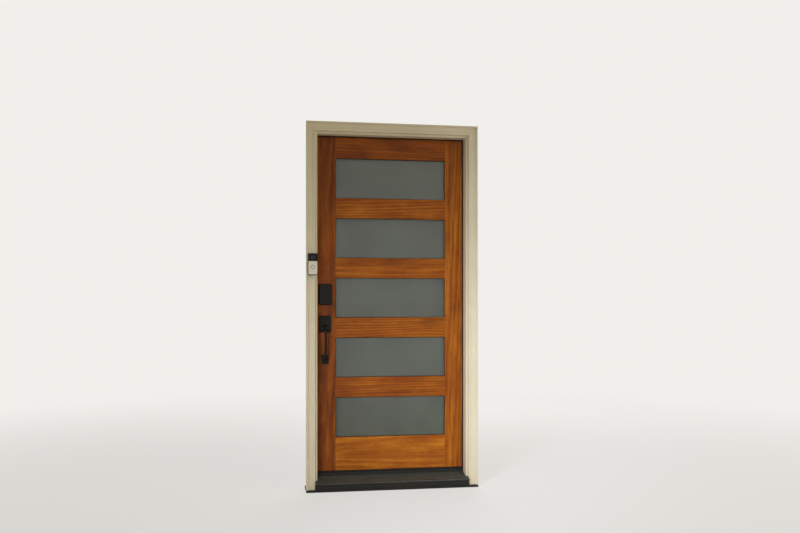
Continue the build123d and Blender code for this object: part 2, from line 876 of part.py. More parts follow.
with BuildPart() as hinge_pins:
    for z in hinge_middles:
        with Locations((hinge_x, hinge_y, z)):
            Cylinder(hinge_pin_radius, hinge_height)
        with Locations((hinge_x, hinge_y, z + hinge_height / 2 + hinge_pin_cap_height / 2)):
            Cylinder(hinge_pin_cap_radius, hinge_pin_cap_height)
save(hinge_pins.part, "hinge_pins")

jamb_screw_places = []
door_screw_places = []
for z in hinge_middles:
    jamb_screw_places += hinge_screw_places(rabbet_edge, -1, z)
    door_screw_places += hinge_screw_places(leaf_edge, 1, z)
save(screw_group(door_screw_places), "hinge_door_screws")


# Strikes in the jamb
def strike(z, half_width, half_height):
    """A flush plate with a window for its bolt."""
    with BuildPart() as plate:
        block(-rabbet_edge - strike_thickness, -rabbet_edge,
              leaf_middle - strike_width / 2, leaf_middle + strike_width / 2,
              z - strike_height / 2, z + strike_height / 2)
        fillet(plate.edges().filter_by(Axis.X), strike_thickness)
        block(-rabbet_edge - strike_thickness, -rabbet_edge, leaf_middle - half_width,
              leaf_middle + half_width, z - half_height, z + half_height, mode=Mode.SUBTRACT)
        screw_seats(strike_places(z), 2 * strike_thickness)
    return plate.part


save(strike(latch_z, latch_bolt_width / 2 + strike_play, latch_bolt_height / 2 + strike_play),
     "latch_strike")
save(strike(deadbolt_z, deadbolt_width / 2 + strike_play, deadbolt_height / 2 + strike_play),
     "deadbolt_strike")
jamb_screw_places += strike_places(latch_z) + strike_places(deadbolt_z)
save(screw_group(jamb_screw_places, length=jamb_thickness - jamb_screw_setback), "jamb_screws")


# Bolt cases: a tube in the edge bore with a flush face plate and a tail at the spindle
def bolt_case(z, bolt_width, bolt_height, channel_length):
    """The case round a bolt that slides along X."""
    front = -leaf_edge
    with BuildPart() as case:
        with BuildSketch(Plane.YZ.offset(front)):
            with Locations((leaf_middle, z)):
                RectangleRounded(faceplate_width, faceplate_height, faceplate_radius)
        extrude(amount=faceplate_thickness)
        rod_x(leaf_middle, z, case_radius, front + faceplate_thickness / 2, lock_x - case_tail_reach)
        block(lock_x - case_tail_reach - overrun, lock_x + case_tail_reach,
              leaf_middle - case_tail_width / 2, leaf_middle + case_tail_width / 2,
              z - case_tail_height / 2, z + case_tail_height / 2)
        block(front, front + channel_length,
              leaf_middle - bolt_width / 2 - bolt_clearance, leaf_middle + bolt_width / 2 + bolt_clearance,
              z - bolt_height / 2 - bolt_clearance, z + bolt_height / 2 + bolt_clearance,
              mode=Mode.SUBTRACT)
        rod_y(lock_x, z, spindle_radius + bolt_clearance, leaf_front, leaf_back, mode=Mode.SUBTRACT)
    return case.part


save(bolt_case(latch_z, latch_bolt_width, latch_bolt_height,
               bolt_recess + latch_bolt_length + bolt_clearance), "latch_case")
save(bolt_case(deadbolt_z, deadbolt_width, deadbolt_height,
               bolt_recess + deadbolt_length + bolt_clearance), "deadbolt_case")

# Bolts, drawn back so that the leaf can swing
with BuildPart() as latch_bolt:
    tip = -leaf_edge + bolt_recess
    block(tip, tip + latch_bolt_length,
          leaf_middle - latch_bolt_width / 2, leaf_middle + latch_bolt_width / 2,
          latch_z - latch_bolt_height / 2, latch_z + latch_bolt_height / 2)
    bevel_edge = latch_bolt.edges().filter_by(Axis.Z).group_by(Axis.X)[0].sort_by(Axis.Y)[0]
    chamfer(bevel_edge, latch_throw - latch_face_flat, latch_bolt_width - latch_nose)
save(latch_bolt.part, "latch_bolt")

with BuildPart() as deadbolt_bolt:
    tip = -leaf_edge + bolt_recess
    block(tip, tip + deadbolt_length,
          leaf_middle - deadbolt_width / 2, leaf_middle + deadbolt_width / 2,
          deadbolt_z - deadbolt_height / 2, deadbolt_z + deadbolt_height / 2)
    fillet(deadbolt_bolt.edges().filter_by(Axis.X), deadbolt_edge_radius)
save(deadbolt_bolt.part, "deadbolt_bolt")


# Plates of the handle set
def bevelled_plate(x, z, width, height, thickness, radius, bevel):
    """A flat plate on the outside of the leaf with rounded corners and a bevelled face."""
    with BuildPart() as plate:
        with BuildSketch(Plane.XZ.offset(-leaf_front)):
            with Locations((x, z)):
                RectangleRounded(width, height, radius)
        extrude(amount=thickness)
        chamfer(plate.faces().sort_by(Axis.Y)[0].edges(), bevel)
    return plate.part


plate_z = latch_z - plate_drop
thumb_z = latch_z - thumb_drop
thumb_y = leaf_front - plate_thickness / 2
foot_z = latch_z - foot_plate_drop

with BuildPart() as handle_upper_plate:
    add(bevelled_plate(lock_x, plate_z, plate_width, plate_height, plate_thickness,
                       plate_radius, plate_bevel))
    pin_reach = thumb_pin_length / 2 + joint_clearance
    bore = thumb_pin_radius + thumb_pin_fit
    block(lock_x - thumb_width / 2 - thumb_slot_play, lock_x + thumb_width / 2 + thumb_slot_play,
          leaf_front - plate_thickness, leaf_front,
          thumb_z - thumb_slot_height / 2, thumb_z + thumb_slot_height / 2, mode=Mode.SUBTRACT)
    rod_x(thumb_y, thumb_z, bore, lock_x - pin_reach, lock_x + pin_reach, mode=Mode.SUBTRACT)
    block(lock_x - pin_reach, lock_x + pin_reach, thumb_y, leaf_front, thumb_z - bore, thumb_z + bore,
          mode=Mode.SUBTRACT)
    for dx in (-rose_bolt_spread, rose_bolt_spread):
        rod_y(lock_x + dx, latch_z + rose_bolt_rise, lock_bolt_radius + screw_fit,
              leaf_front - plate_thickness + plate_bevel, leaf_front, mode=Mode.SUBTRACT)
save(handle_upper_plate.part, "handle_upper_plate")

# Grip: a bar that stands off the door between the upper plate and its own foot plate
with BuildPart() as handle_grip:
    plate_face = leaf_front - plate_thickness
    bar_y = leaf_front - grip_projection
    top_z = latch_z - grip_top_drop
    with BuildLine() as grip_path:
        FilletPolyline(
            (lock_x, plate_face, top_z),
            (lock_x, bar_y, top_z),
            (lock_x, bar_y, foot_z),
            (lock_x, plate_face, foot_z),
            radius=grip_corner_radius,
        )
    with BuildSketch(Plane(origin=(lock_x, plate_face, top_z), x_dir=(1, 0, 0), z_dir=(0, -1, 0))):
        RectangleRounded(grip_width, grip_depth, grip_edge_radius)
    sweep(path=grip_path.line)
    add(bevelled_plate(lock_x, foot_z, foot_plate_width, foot_plate_height, plate_thickness,
                       plate_radius, plate_bevel))
    rod_y(lock_x, foot_z, lock_bolt_radius + screw_fit, plate_face, leaf_front, mode=Mode.SUBTRACT)
save(handle_grip.part, "handle_grip")

# Thumb piece: a lever on a cross pin, shown pressed down
with BuildPart() as thumb_piece:
    with BuildSketch(Plane.YZ.offset(lock_x)):
        with BuildLine():
            Polyline(
                (thumb_y + thumb_tail_length, thumb_z + thumb_thickness / 2),
                (thumb_y - thumb_length + thumb_thickness, thumb_z + thumb_thickness / 2),
                (thumb_y - thumb_length, thumb_z + thumb_thickness),
                (thumb_y - thumb_length, thumb_z),
                (thumb_y - thumb_length + thumb_thickness, thumb_z - thumb_thickness / 2),
                (thumb_y + thumb_tail_length, thumb_z - thumb_thickness / 2),
                close=True,
            )
        make_face()
    extrude(amount=thumb_width / 2, both=True)
    for side in (-1, 1):
        block(lock_x + side * thumb_tail_width / 2, lock_x + side * thumb_width,
              thumb_y + thumb_pin_radius, thumb_y + thumb_tail_length + overrun,
              thumb_z - thumb_thickness, thumb_z + thumb_thickness, mode=Mode.SUBTRACT)
    fillet(thumb_piece.edges().filter_by(Axis.Z).group_by(Axis.Y)[0], thumb_thickness)
    rod_x(thumb_y, thumb_z, thumb_pin_radius, lock_x - thumb_pin_length / 2, lock_x + thumb_pin_length / 2)
pressed = Rotation(thumb_tilt, 0, 0)
pivot = Pos(lock_x, thumb_y, thumb_z)
save(pivot * pressed * pivot.inverse() * thumb_piece.part, "thumb_piece")

# Keypad lock on the outside
with BuildPart() as keypad_housing:
    with BuildSketch(Plane.XZ.offset(-leaf_front)):
        with Locations((lock_x, keypad_z)):
            RectangleRounded(keypad_width, keypad_height, keypad_radius)
    with BuildSketch(Plane.XZ.offset(-leaf_front + keypad_depth)):
        with Locations((lock_x, keypad_z)):
            RectangleRounded(keypad_width - 2 * keypad_taper, keypad_height - 2 * keypad_taper,
                             keypad_radius - keypad_taper)
    loft()
    with BuildSketch(Plane.XZ.offset(-leaf_front + keypad_depth - keypad_face_depth)):
        with Locations((lock_x, keypad_z)):
            RectangleRounded(keypad_width - 2 * keypad_face_inset, keypad_height - 2 * keypad_face_inset,
                             keypad_radius - keypad_face_inset)
    extrude(amount=keypad_face_depth + overrun, mode=Mode.SUBTRACT)
    rod_y(lock_x, deadbolt_z, spindle_radius + bolt_clearance, leaf_front - keypad_depth / 2, leaf_front,
          mode=Mode.SUBTRACT)
    for dz in (-lock_bolt_offset, lock_bolt_offset):
        rod_y(lock_x, deadbolt_z + dz, lock_bolt_radius + screw_fit,
              leaf_front - keypad_depth / 2, leaf_front, mode=Mode.SUBTRACT)
save(keypad_housing.part, "keypad_housing")

with BuildPart() as keypad_face:
    inset = keypad_face_inset + joint_clearance
    with BuildSketch(Plane.XZ.offset(-leaf_front + keypad_depth - keypad_face_depth)):
        with Locations((lock_x, keypad_z)):
            RectangleRounded(keypad_width - 2 * inset, keypad_height - 2 * inset,
                             keypad_radius - inset)
    extrude(amount=keypad_face_depth + keypad_face_proud)
    chamfer(keypad_face.faces().sort_by(Axis.Y)[0].edges(), keypad_face_proud / 2)
save(keypad_face.part, "keypad_face")

# Rose and knob on the inside
with BuildPart() as knob_rose:
    with BuildSketch(Plane.XY):
        with BuildLine():
            Polyline(
                (0, leaf_back),
                (rose_radius, leaf_back),
                (rose_radius, leaf_back + rose_thickness - rose_edge),
                (rose_radius - rose_edge, leaf_back + rose_thickness),
                (rose_neck_radius, leaf_back + rose_thickness),
                (rose_neck_radius, leaf_back + rose_thickness + rose_neck_length),
                (0, leaf_back + rose_thickness + rose_neck_length),
                close=True,
            )
        make_face()
    revolve(axis=Axis.Y)
    rod_y(0, 0, spindle_radius + spindle_fit, leaf_back, leaf_back + 2 * rose_thickness, mode=Mode.SUBTRACT)
    rose_seats = [Location((dx, leaf_back + rose_thickness, rose_bolt_rise), (-90, 0, 0))
                  for dx in (-rose_bolt_spread, rose_bolt_spread)]
    screw_seats(rose_seats, 2 * rose_thickness, lock_bolt_head_radius, lock_bolt_head_depth,
                lock_bolt_radius)
save(Pos(lock_x, 0, latch_z) * knob_rose.part, "knob_rose")

knob_start = leaf_back + rose_thickness + rose_neck_length + knob_gap
neck_end = knob_start + knob_neck_length
knob_end = neck_end + knob_depth
knob_rim = knob_radius - knob_shoulder
spindle_end = leaf_front + spindle_radius
with BuildPart() as knob:
    with BuildSketch(Plane.XY):
        with BuildLine():
            Polyline((0, spindle_end), (spindle_radius, spindle_end), (spindle_radius, knob_start),
                     (rose_neck_radius, knob_start), (knob_neck_radius, knob_start + knob_flare),
                     (knob_neck_radius, neck_end - knob_shoulder))
            ThreePointArc((knob_neck_radius, neck_end - knob_shoulder),
                          (knob_neck_radius + knob_flare, neck_end - knob_round / 2),
                          (knob_rim, neck_end + knob_round))
            ThreePointArc((knob_rim, neck_end + knob_round),
                          (knob_radius, neck_end + knob_depth * knob_widest_share),
                          (knob_rim, knob_end - knob_crown))
            ThreePointArc((knob_rim, knob_end - knob_crown),
                          (knob_radius / 2, knob_end - knob_round), (knob_flare, knob_end))
            Line((knob_flare, knob_end), (0, knob_end))
            Line((0, knob_end), (0, spindle_end))
        make_face()
    revolve(axis=Axis.Y)
save(Pos(lock_x, 0, latch_z) * knob.part, "knob")

# Thumb turn and its housing on the inside
with BuildPart() as thumbturn_housing:
    with BuildSketch(Plane.XZ.offset(-leaf_back)):
        with Locations((lock_x, keypad_z)):
            RectangleRounded(turn_housing_width, keypad_height, keypad_radius)
    with BuildSketch(Plane.XZ.offset(-leaf_back - turn_housing_depth)):
        with Locations((lock_x, keypad_z)):
            RectangleRounded(turn_housing_width - 2 * keypad_taper, keypad_height - 2 * keypad_taper,
                             keypad_radius - keypad_taper)
    loft()
    rod_y(lock_x, deadbolt_z, spindle_radius + spindle_fit, leaf_back, leaf_back + turn_housing_depth,
          mode=Mode.SUBTRACT)
    for dz in (-lock_bolt_offset, lock_bolt_offset):
        screw_seats([Location((lock_x, leaf_back + turn_housing_depth, deadbolt_z + dz), (-90, 0, 0))],
                    turn_housing_depth + overrun, lock_bolt_head_radius, lock_bolt_head_depth,
                    lock_bolt_radius)
save(thumbturn_housing.part, "thumbturn_housing")

turn_start = leaf_back + turn_housing_depth + knob_gap
with BuildPart() as thumbturn:
    rod_y(lock_x, deadbolt_z, turn_base_radius, turn_start, turn_start + turn_base_depth)
    fillet(thumbturn.faces().sort_by(Axis.Y)[-1].edges(), turn_edge_radius)
    with BuildSketch(Plane.XZ.offset(-turn_start - turn_base_depth)):
        with Locations((lock_x, deadbolt_z)):
            SlotOverall(turn_paddle_length, turn_paddle_width)
    with BuildSketch(Plane.XZ.offset(-turn_start - turn_base_depth - turn_paddle_depth)):
        with Locations((lock_x, deadbolt_z)):
            SlotOverall(turn_paddle_length - 2 * turn_paddle_taper,
                        turn_paddle_width - 2 * turn_paddle_taper)
    loft()
    rod_y(lock_x, deadbolt_z, spindle_radius, leaf_front - keypad_depth / 2 + lock_end_play,
          turn_start + overrun)
save(thumbturn.part, "thumbturn")

# Screws that clamp the lock through the leaf, and one behind the grip's foot
with BuildPart() as lock_screws:
    rose_bolt = flat_screw(lock_bolt_head_radius, lock_bolt_head_depth, lock_bolt_radius,
                           leaf_thickness + rose_thickness + plate_thickness / 2)
    housing_bolt = flat_screw(lock_bolt_head_radius, lock_bolt_head_depth, lock_bolt_radius,
                              leaf_thickness + turn_housing_depth + keypad_depth / 2 - lock_end_play)
    for dx in (-rose_bolt_spread, rose_bolt_spread):
        with Locations(Location((lock_x + dx, leaf_back + rose_thickness, latch_z + rose_bolt_rise),
                                (-90, 0, 0))):
            add(rose_bolt)
    for dz in (-lock_bolt_offset, lock_bolt_offset):
        with Locations(Location((lock_x, leaf_back + turn_housing_depth, deadbolt_z + dz), (-90, 0, 0))):
            add(housing_bolt)
    rod_y(lock_x, foot_z, foot_bolt_head_radius, leaf_back, leaf_back + foot_bolt_head_depth)
    chamfer(lock_screws.faces().sort_by(Axis.Z)[0].edges().sort_by(Axis.Y)[-1], foot_bolt_edge)
    rod_y(lock_x, foot_z, lock_bolt_radius, leaf_front - plate_thickness / 2, leaf_back)
save(lock_screws.part, "lock_screws")

# Bell push on the left casing: a housing, a dark camera window, a pale face and a button
bell_front = -casing_thickness - bell_depth
bell_top = bell_middle_height + bell_height / 2
bell_bottom = bell_middle_height - bell_height / 2
bell_split = bell_top - bell_lens_height
button_z = (bell_split + bell_bottom) / 2 + bell_button_raise


def bell_panel(inset, depth, low, high):
    """A shallow panel in the bell's face between two heights."""
    with BuildPart() as panel:
        with BuildSketch(Plane.XZ.offset(-bell_front - bell_face_depth)):
            with Locations((-bell_offset, bell_middle_height)):
                RectangleRounded(bell_width - 2 * inset, bell_height - 2 * inset, bell_radius - inset)
            with Locations((-bell_offset, (low + high) / 2)):
                Rectangle(bell_width, high - low, mode=Mode.INTERSECT)
        extrude(amount=depth)
    return panel.part


with BuildPart() as doorbell_housing:
    with BuildSketch(Plane.XZ.offset(casing_thickness)):
        with Locations((-bell_offset, bell_middle_height)):
            RectangleRounded(bell_width, bell_height, bell_radius)
    extrude(amount=bell_depth)
    add(bell_panel(bell_face_inset, bell_face_depth + overrun, bell_bottom, bell_top), mode=Mode.SUBTRACT)
    rod_y(-bell_offset, button_z, bell_button_stem_radius + bell_button_gap,
          bell_front + bell_face_depth, bell_front + bell_face_depth + bell_button_stem_length
          + bell_button_travel + bell_button_gap, mode=Mode.SUBTRACT)
save(doorbell_housing.part, "doorbell_housing")

with BuildPart() as doorbell_lens:
    inset = bell_face_inset + joint_clearance
    add(bell_panel(inset, bell_face_depth, bell_split + joint_clearance, bell_top))
    lens_z = (bell_split + bell_top) / 2
    with Locations(Location((-bell_offset, bell_front, lens_z), (90, 0, 0))):
        Cone(bell_lens_radius, bell_lens_radius - bell_lens_rise, bell_lens_rise,
             align=(Align.CENTER, Align.CENTER, Align.MIN))
save(doorbell_lens.part, "doorbell_lens")

with BuildPart() as doorbell_faceplate:
    add(bell_panel(inset, bell_face_depth, bell_bottom, bell_split - joint_clearance))
    rod_y(-bell_offset, button_z, bell_button_radius + bell_button_gap,
          bell_front, bell_front + bell_face_depth, mode=Mode.SUBTRACT)
save(doorbell_faceplate.part, "doorbell_faceplate")

with BuildPart() as doorbell_button:
    back = bell_front + bell_face_depth - bell_button_travel - bell_button_gap
    rod_y(-bell_offset, button_z, bell_button_radius, bell_front - bell_button_rise, back)
    fillet(doorbell_button.faces().sort_by(Axis.Y)[0].edges(), bell_button_edge)
    rod_y(-bell_offset, button_z, bell_button_stem_radius, back - overrun,
          bell_front + bell_face_depth + bell_button_stem_length)
save(doorbell_button.part, "doorbell_button")
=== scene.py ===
"""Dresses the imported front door: finishes for its CAD pieces and finer mouldings and fittings over them.

The shared frame is in metres: +X to the right seen from outside, +Y into the house, +Z up.
"""
import logging
import math
from dataclasses import dataclass
from enum import Enum
from typing import Any, Optional, Sequence

import bpy
import numpy as np
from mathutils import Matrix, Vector


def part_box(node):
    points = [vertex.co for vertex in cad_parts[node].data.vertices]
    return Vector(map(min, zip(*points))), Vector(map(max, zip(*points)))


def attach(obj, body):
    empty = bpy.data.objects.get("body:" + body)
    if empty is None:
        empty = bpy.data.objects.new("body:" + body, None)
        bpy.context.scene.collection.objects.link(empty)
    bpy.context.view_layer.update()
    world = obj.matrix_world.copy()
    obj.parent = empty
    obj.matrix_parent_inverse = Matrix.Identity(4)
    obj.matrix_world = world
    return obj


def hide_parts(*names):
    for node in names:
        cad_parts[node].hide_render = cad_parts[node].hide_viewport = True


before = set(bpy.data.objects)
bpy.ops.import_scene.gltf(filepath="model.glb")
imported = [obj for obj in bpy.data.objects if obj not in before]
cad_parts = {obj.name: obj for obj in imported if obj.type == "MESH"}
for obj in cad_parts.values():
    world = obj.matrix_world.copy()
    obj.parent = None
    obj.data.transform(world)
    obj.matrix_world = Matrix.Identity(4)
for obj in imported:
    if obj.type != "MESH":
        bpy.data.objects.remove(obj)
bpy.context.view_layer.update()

MM = 0.001
LOG = logging.getLogger("front_door")
logging.basicConfig(level=logging.INFO, format="%(name)s: %(message)s")

Array = np.ndarray
Pair = tuple[float, float]
Triple = tuple[float, float, float]
OUTWARDS = np.array([0.0, -1.0, 0.0])
INWARDS = np.array([0.0, 1.0, 0.0])


class Body(Enum):
    """The moving bodies of the door set that new pieces ride on."""

    FRAME = "frame"
    LEAF = "leaf"
    KNOB = "knob"
    THUMB = "thumb"
    TURN = "turn"
    BELL = "bell_button"


class Slot(Enum):
    """The record's material slots, one named with each new piece."""

    STAINED = "stained_wood"
    PAINTED = "painted_wood"
    SEAL = "foam_seal"
    STEEL = "steel"
    BLACK = "black_metal"
    GLOSS = "black_gloss"
    PLASTIC = "satin_plastic"


class Grain(Enum):
    """Which way the grain of a board runs."""

    UPRIGHT = "upright"
    ACROSS = "across"


# Colour and nodes


def linear(hex_colour: str) -> tuple[float, float, float, float]:
    """Turns an sRGB hex colour into linear values.

    Args:
        hex_colour: six hex digits after a hash.

    Returns:
        Red, green, blue and an alpha of one.
    """
    digits = hex_colour.lstrip("#")
    srgb = np.array([int(digits[i:i + 2], 16) / 255 for i in (0, 2, 4)])
    red, green, blue = np.where(srgb <= 0.04045, srgb / 12.92, ((srgb + 0.055) / 1.055) ** 2.4)
    return float(red), float(green), float(blue), 1.0


def per_metre(size_mm: float) -> float:
    """Pattern scale whose features are about size_mm across."""
    return 1.0 / (size_mm * MM)


def add_node(tree: Any, kind: str, inputs: Optional[dict] = None, take: Optional[str] = None,
             stops: Sequence[tuple[float, str]] = (), **settings: Any) -> Any:
    """Adds one node with its settings, values and links.

    Args:
        tree: the node tree.
        kind: the node type without its ShaderNode prefix.
        inputs: socket name or number to a value, or to the output socket that feeds it.
        take: name of the output that is wanted, or None for the first one in use.
        stops: a colour ramp's places from 0 to 1, each with its hex colour.
        settings: attributes of the node, such as its operation.

    Returns:
        The output socket, or None for a node without one.
    """
    made = tree.nodes.new("ShaderNode" + kind)
    for name, value in settings.items():
        setattr(made, name, value)
    for key, value in (inputs or {}).items():
        if isinstance(value, bpy.types.NodeSocket):
            tree.links.new(value, made.inputs[key])
        else:
            made.inputs[key].default_value = value
    for index, (place, colour) in enumerate(stops):
        band = made.color_ramp.elements
        element = band[index] if index < len(band) else band.new(place)
        element.position, element.color = place, linear(colour)
    return made.outputs[take] if take else next((out for out in made.outputs if out.enabled), None)


# Finishes


@dataclass(frozen=True)
class Finish:
    """A real surface: each kind works out its shader's inputs from patterns of a real size."""

    def title(self) -> str:
        """The material's name."""
        raise NotImplementedError

    def inputs(self, tree: Any) -> dict:
        """The shader's inputs, constants as numbers and patterns as output sockets of the tree."""
        raise NotImplementedError

    def build(self) -> Any:
        """Makes the material at its first use and shares it after that.

        Returns:
            The material.
        """
        ready = bpy.data.materials.get(self.title())
        if ready is not None:
            return ready
        material = bpy.data.materials.new(self.title())
        material.use_nodes = True
        tree = material.node_tree
        tree.nodes.clear()
        surface = add_node(tree, "BsdfPrincipled", self.inputs(tree))
        add_node(tree, "OutputMaterial", {"Surface": surface})
        return material


@dataclass(frozen=True)
class StainedTimber(Finish):
    """Mahogany boards, planed and sanded, stained orange-brown and varnished satin.

    The saw crosses the year rings at a low angle, which gives long faint arches. Streaks and fibres
    run along the board, stain gathers in slow clouds, and short dark pores stay under the varnish.
    """

    grain: Grain
    board: int
    centre: Triple = (0.0, 0.0, 0.0)
    # a shift of the board's whole shade; on the leaf's boards it is partly stain and partly painted light,
    # darker at the top and on the lock side, lighter at the foot and on the hinge side
    tone_and_painted_light: float = 0.0
    # the heart of the tree beside the board, how far it strays, how much the board leans to it, and
    # the length of tree between one board's pattern and the next one's
    heart_mm: float = 110.0
    heart_play: float = 0.03
    lean: float = 0.018
    length_apart: float = 3.7
    # each pattern's size across the grain in millimetres, and how many times longer it is along it
    wander_mm: Pair = (70.0, 7.0)
    cloud_mm: Pair = (90.0, 2.4)
    streak_mm: Pair = (8.0, 50.0)
    fibre_mm: Pair = (2.0, 30.0)
    pore_mm: Pair = (1.1, 14.0)
    ring_pitch_mm: float = 12.0
    ring_wander: float = 0.024
    # how much rings, clouds, streaks and fibres say in the shade, and the part of it that is used
    shares: tuple[float, ...] = (0.10, 0.40, 0.34, 0.16)
    shade_range: Pair = (0.28, 0.72)
    shades: tuple[tuple[float, str], ...] = ((0.0, "#4E2406"), (0.3, "#733A09"), (0.55, "#8F4E0C"),
                                             (0.8, "#AA6416"), (1.0, "#BF7924"))
    reddened: str = "#8C4013"
    most_red: float = 0.4
    pore_colour: str = "#3A1603"
    most_pore: float = 0.55
    fibre_relief_mm: float = 0.10

    def title(self) -> str:
        """The material's name."""
        return f"stained_varnished_mahogany_{self.grain.value}_{self.board}"

    def inputs(self, tree: Any) -> dict:
        """Rings, clouds, streaks and fibres add up to one shade; red wanders in it and pores lie over it.

        Args:
            tree: the material's node tree.

        Returns:
            The shader's inputs.
        """
        rng = np.random.default_rng(40 + self.board)
        across = self.grain is Grain.ACROSS
        lean = rng.uniform(-self.lean, self.lean, 2)
        turn = (lean[0], lean[1] + (math.pi / 2 if across else 0.0), 0.0)
        shift = rng.uniform(-self.heart_play, self.heart_play)
        # each board is cut from another length of the tree
        along, beside = self.length_apart * (self.board + 1), self.heart_mm * MM
        heart = tuple(np.array(self.centre) + ((along, beside, shift) if across else (shift, beside, along)))
        place = add_node(tree, "TexCoord", take="Object")
        # coordinates from the heart of the tree, drawn out along the grain by each pattern's factor
        drawn = {factor: add_node(tree, "Mapping", {"Vector": place, "Location": heart, "Rotation": turn,
                                                    "Scale": (1, 1, factor)}, vector_type="TEXTURE")
                 for _, factor in (self.cloud_mm, self.wander_mm, self.pore_mm, self.fibre_mm,
                                   self.streak_mm)}
        size, factor = self.wander_mm
        wander = add_node(tree, "TexNoise", {"Vector": drawn[factor], "Scale": per_metre(size),
                                             "Detail": 3.0}, take="Color")
        bent = add_node(tree, "VectorMath", {0: wander, 1: (self.ring_wander, self.ring_wander, 0.0),
                                             2: drawn[factor]}, operation="MULTIPLY_ADD")
        # the wave's own formula multiplies distance by twenty
        rings = add_node(tree, "TexWave", {"Vector": bent, "Distortion": 0.5, "Detail": 2.0,
                                           "Scale": 2 * math.pi * per_metre(self.ring_pitch_mm) / 20.0},
                         take="Fac", wave_type="RINGS", rings_direction="Z", wave_profile="SIN")
        # a real pore is a third of its size here, so it is drawn coarse enough to show close up
        cloud, streak, fibre, pore = [
            add_node(tree, "TexNoise", {"Vector": drawn[factor], "Scale": per_metre(size),
                                        "Detail": detail, "Roughness": ragged})
            for (size, factor), detail, ragged in ((self.cloud_mm, 4.0, 0.6), (self.streak_mm, 3.0, 0.6),
                                                   (self.fibre_mm, 2.0, 0.5), (self.pore_mm, 1.0, 0.5))]
        shade = 0.0
        for value, share in zip((rings, cloud, streak, fibre), self.shares):
            shade = add_node(tree, "Math", {0: value, 1: share, 2: shade}, operation="MULTIPLY_ADD")
        low, high = self.shade_range
        # the board's tone shifts the whole shade; on the leaf's boards that shift holds painted shade and
        # painted light
        shade = add_node(tree, "MapRange", {"Value": shade, "From Min": low, "From Max": high,
                                            "To Min": self.tone_and_painted_light, "To Max": 1.0 + self.tone_and_painted_light})
        body = add_node(tree, "ValToRGB", {"Fac": shade}, stops=self.shades)
        red = add_node(tree, "MapRange", {"Value": wander, "From Min": 0.42, "From Max": 0.66,
                                          "To Min": 0.0, "To Max": self.most_red})
        body = add_node(tree, "Mix", {0: red, 6: body, 7: linear(self.reddened)}, data_type="RGBA")
        dark = add_node(tree, "MapRange", {"Value": pore, "From Min": 0.60, "From Max": 0.72,
                                           "To Min": 0.0, "To Max": self.most_pore})
        body = add_node(tree, "Mix", {0: dark, 6: body, 7: linear(self.pore_colour)}, data_type="RGBA")
        rough = add_node(tree, "MapRange", {"Value": fibre, "To Min": 0.40, "To Max": 0.58})
        relief = add_node(tree, "Bump", {"Height": fibre, "Distance": self.fibre_relief_mm * MM,
                                         "Strength": 0.5})
        return {"Base Color": body, "Roughness": rough, "Normal": relief, "Specular IOR Level": 0.12,
                "Coat Weight": 0.10, "Coat Roughness": 0.16}


@dataclass(frozen=True)
class PaintedTimber(Finish):
    """Pine boards under two brushed coats of satin exterior paint, a warm off-white.

    The brush leaves faint ridges along the board, and dust greys the paint a little in patches.
    """

    grain: Grain
    base: str = "#D5CDB4"
    soiled: str = "#C3BA9E"
    # a real bristle line is a fifth of this, so it is drawn coarse enough to show close up
    brush_mm: float = 2.4
    brush_relief_mm: float = 0.08
    brush_stretch: float = 0.02
    patch_mm: float = 240.0
    most_soil: float = 0.45

    def title(self) -> str:
        """The material's name."""
        return f"satin_paint_on_pine_{self.grain.value}"

    def inputs(self, tree: Any) -> dict:
        """Patches of dust over the colour, with brush ridges in colour and height.

        Args:
            tree: the material's node tree.

        Returns:
            The shader's inputs.
        """
        along = self.brush_stretch
        stretch = (1, 1, along) if self.grain is Grain.UPRIGHT else (along, 1, 1)
        place = add_node(tree, "TexCoord", take="Object")
        drawn = add_node(tree, "Mapping", {"Vector": place, "Scale": stretch})
        ridges = add_node(tree, "TexNoise", {"Vector": drawn, "Scale": per_metre(self.brush_mm),
                                             "Detail": 3.0})
        patches = add_node(tree, "TexNoise", {"Vector": place, "Scale": per_metre(self.patch_mm),
                                              "Detail": 5.0, "Roughness": 0.6})
        soil = add_node(tree, "MapRange", {"Value": patches, "From Min": 0.4, "From Max": 0.75,
                                           "To Min": 0.0, "To Max": self.most_soil})
        colour = add_node(tree, "Mix", {0: soil, 6: linear(self.base), 7: linear(self.soiled)},
                          data_type="RGBA")
        streak = add_node(tree, "MapRange", {"Value": ridges, "To Min": 0.965, "To Max": 1.03})
        colour = add_node(tree, "Mix", {0: 1.0, 6: colour, 7: streak}, data_type="RGBA",
                          blend_type="MULTIPLY")
        rough = add_node(tree, "MapRange", {"Value": patches, "To Min": 0.42, "To Max": 0.58})
        relief = add_node(tree, "Bump", {"Height": ridges, "Distance": self.brush_relief_mm * MM,
                                         "Strength": 0.4})
        return {"Base Color": colour, "Roughness": rough, "Normal": relief, "IOR": 1.5}


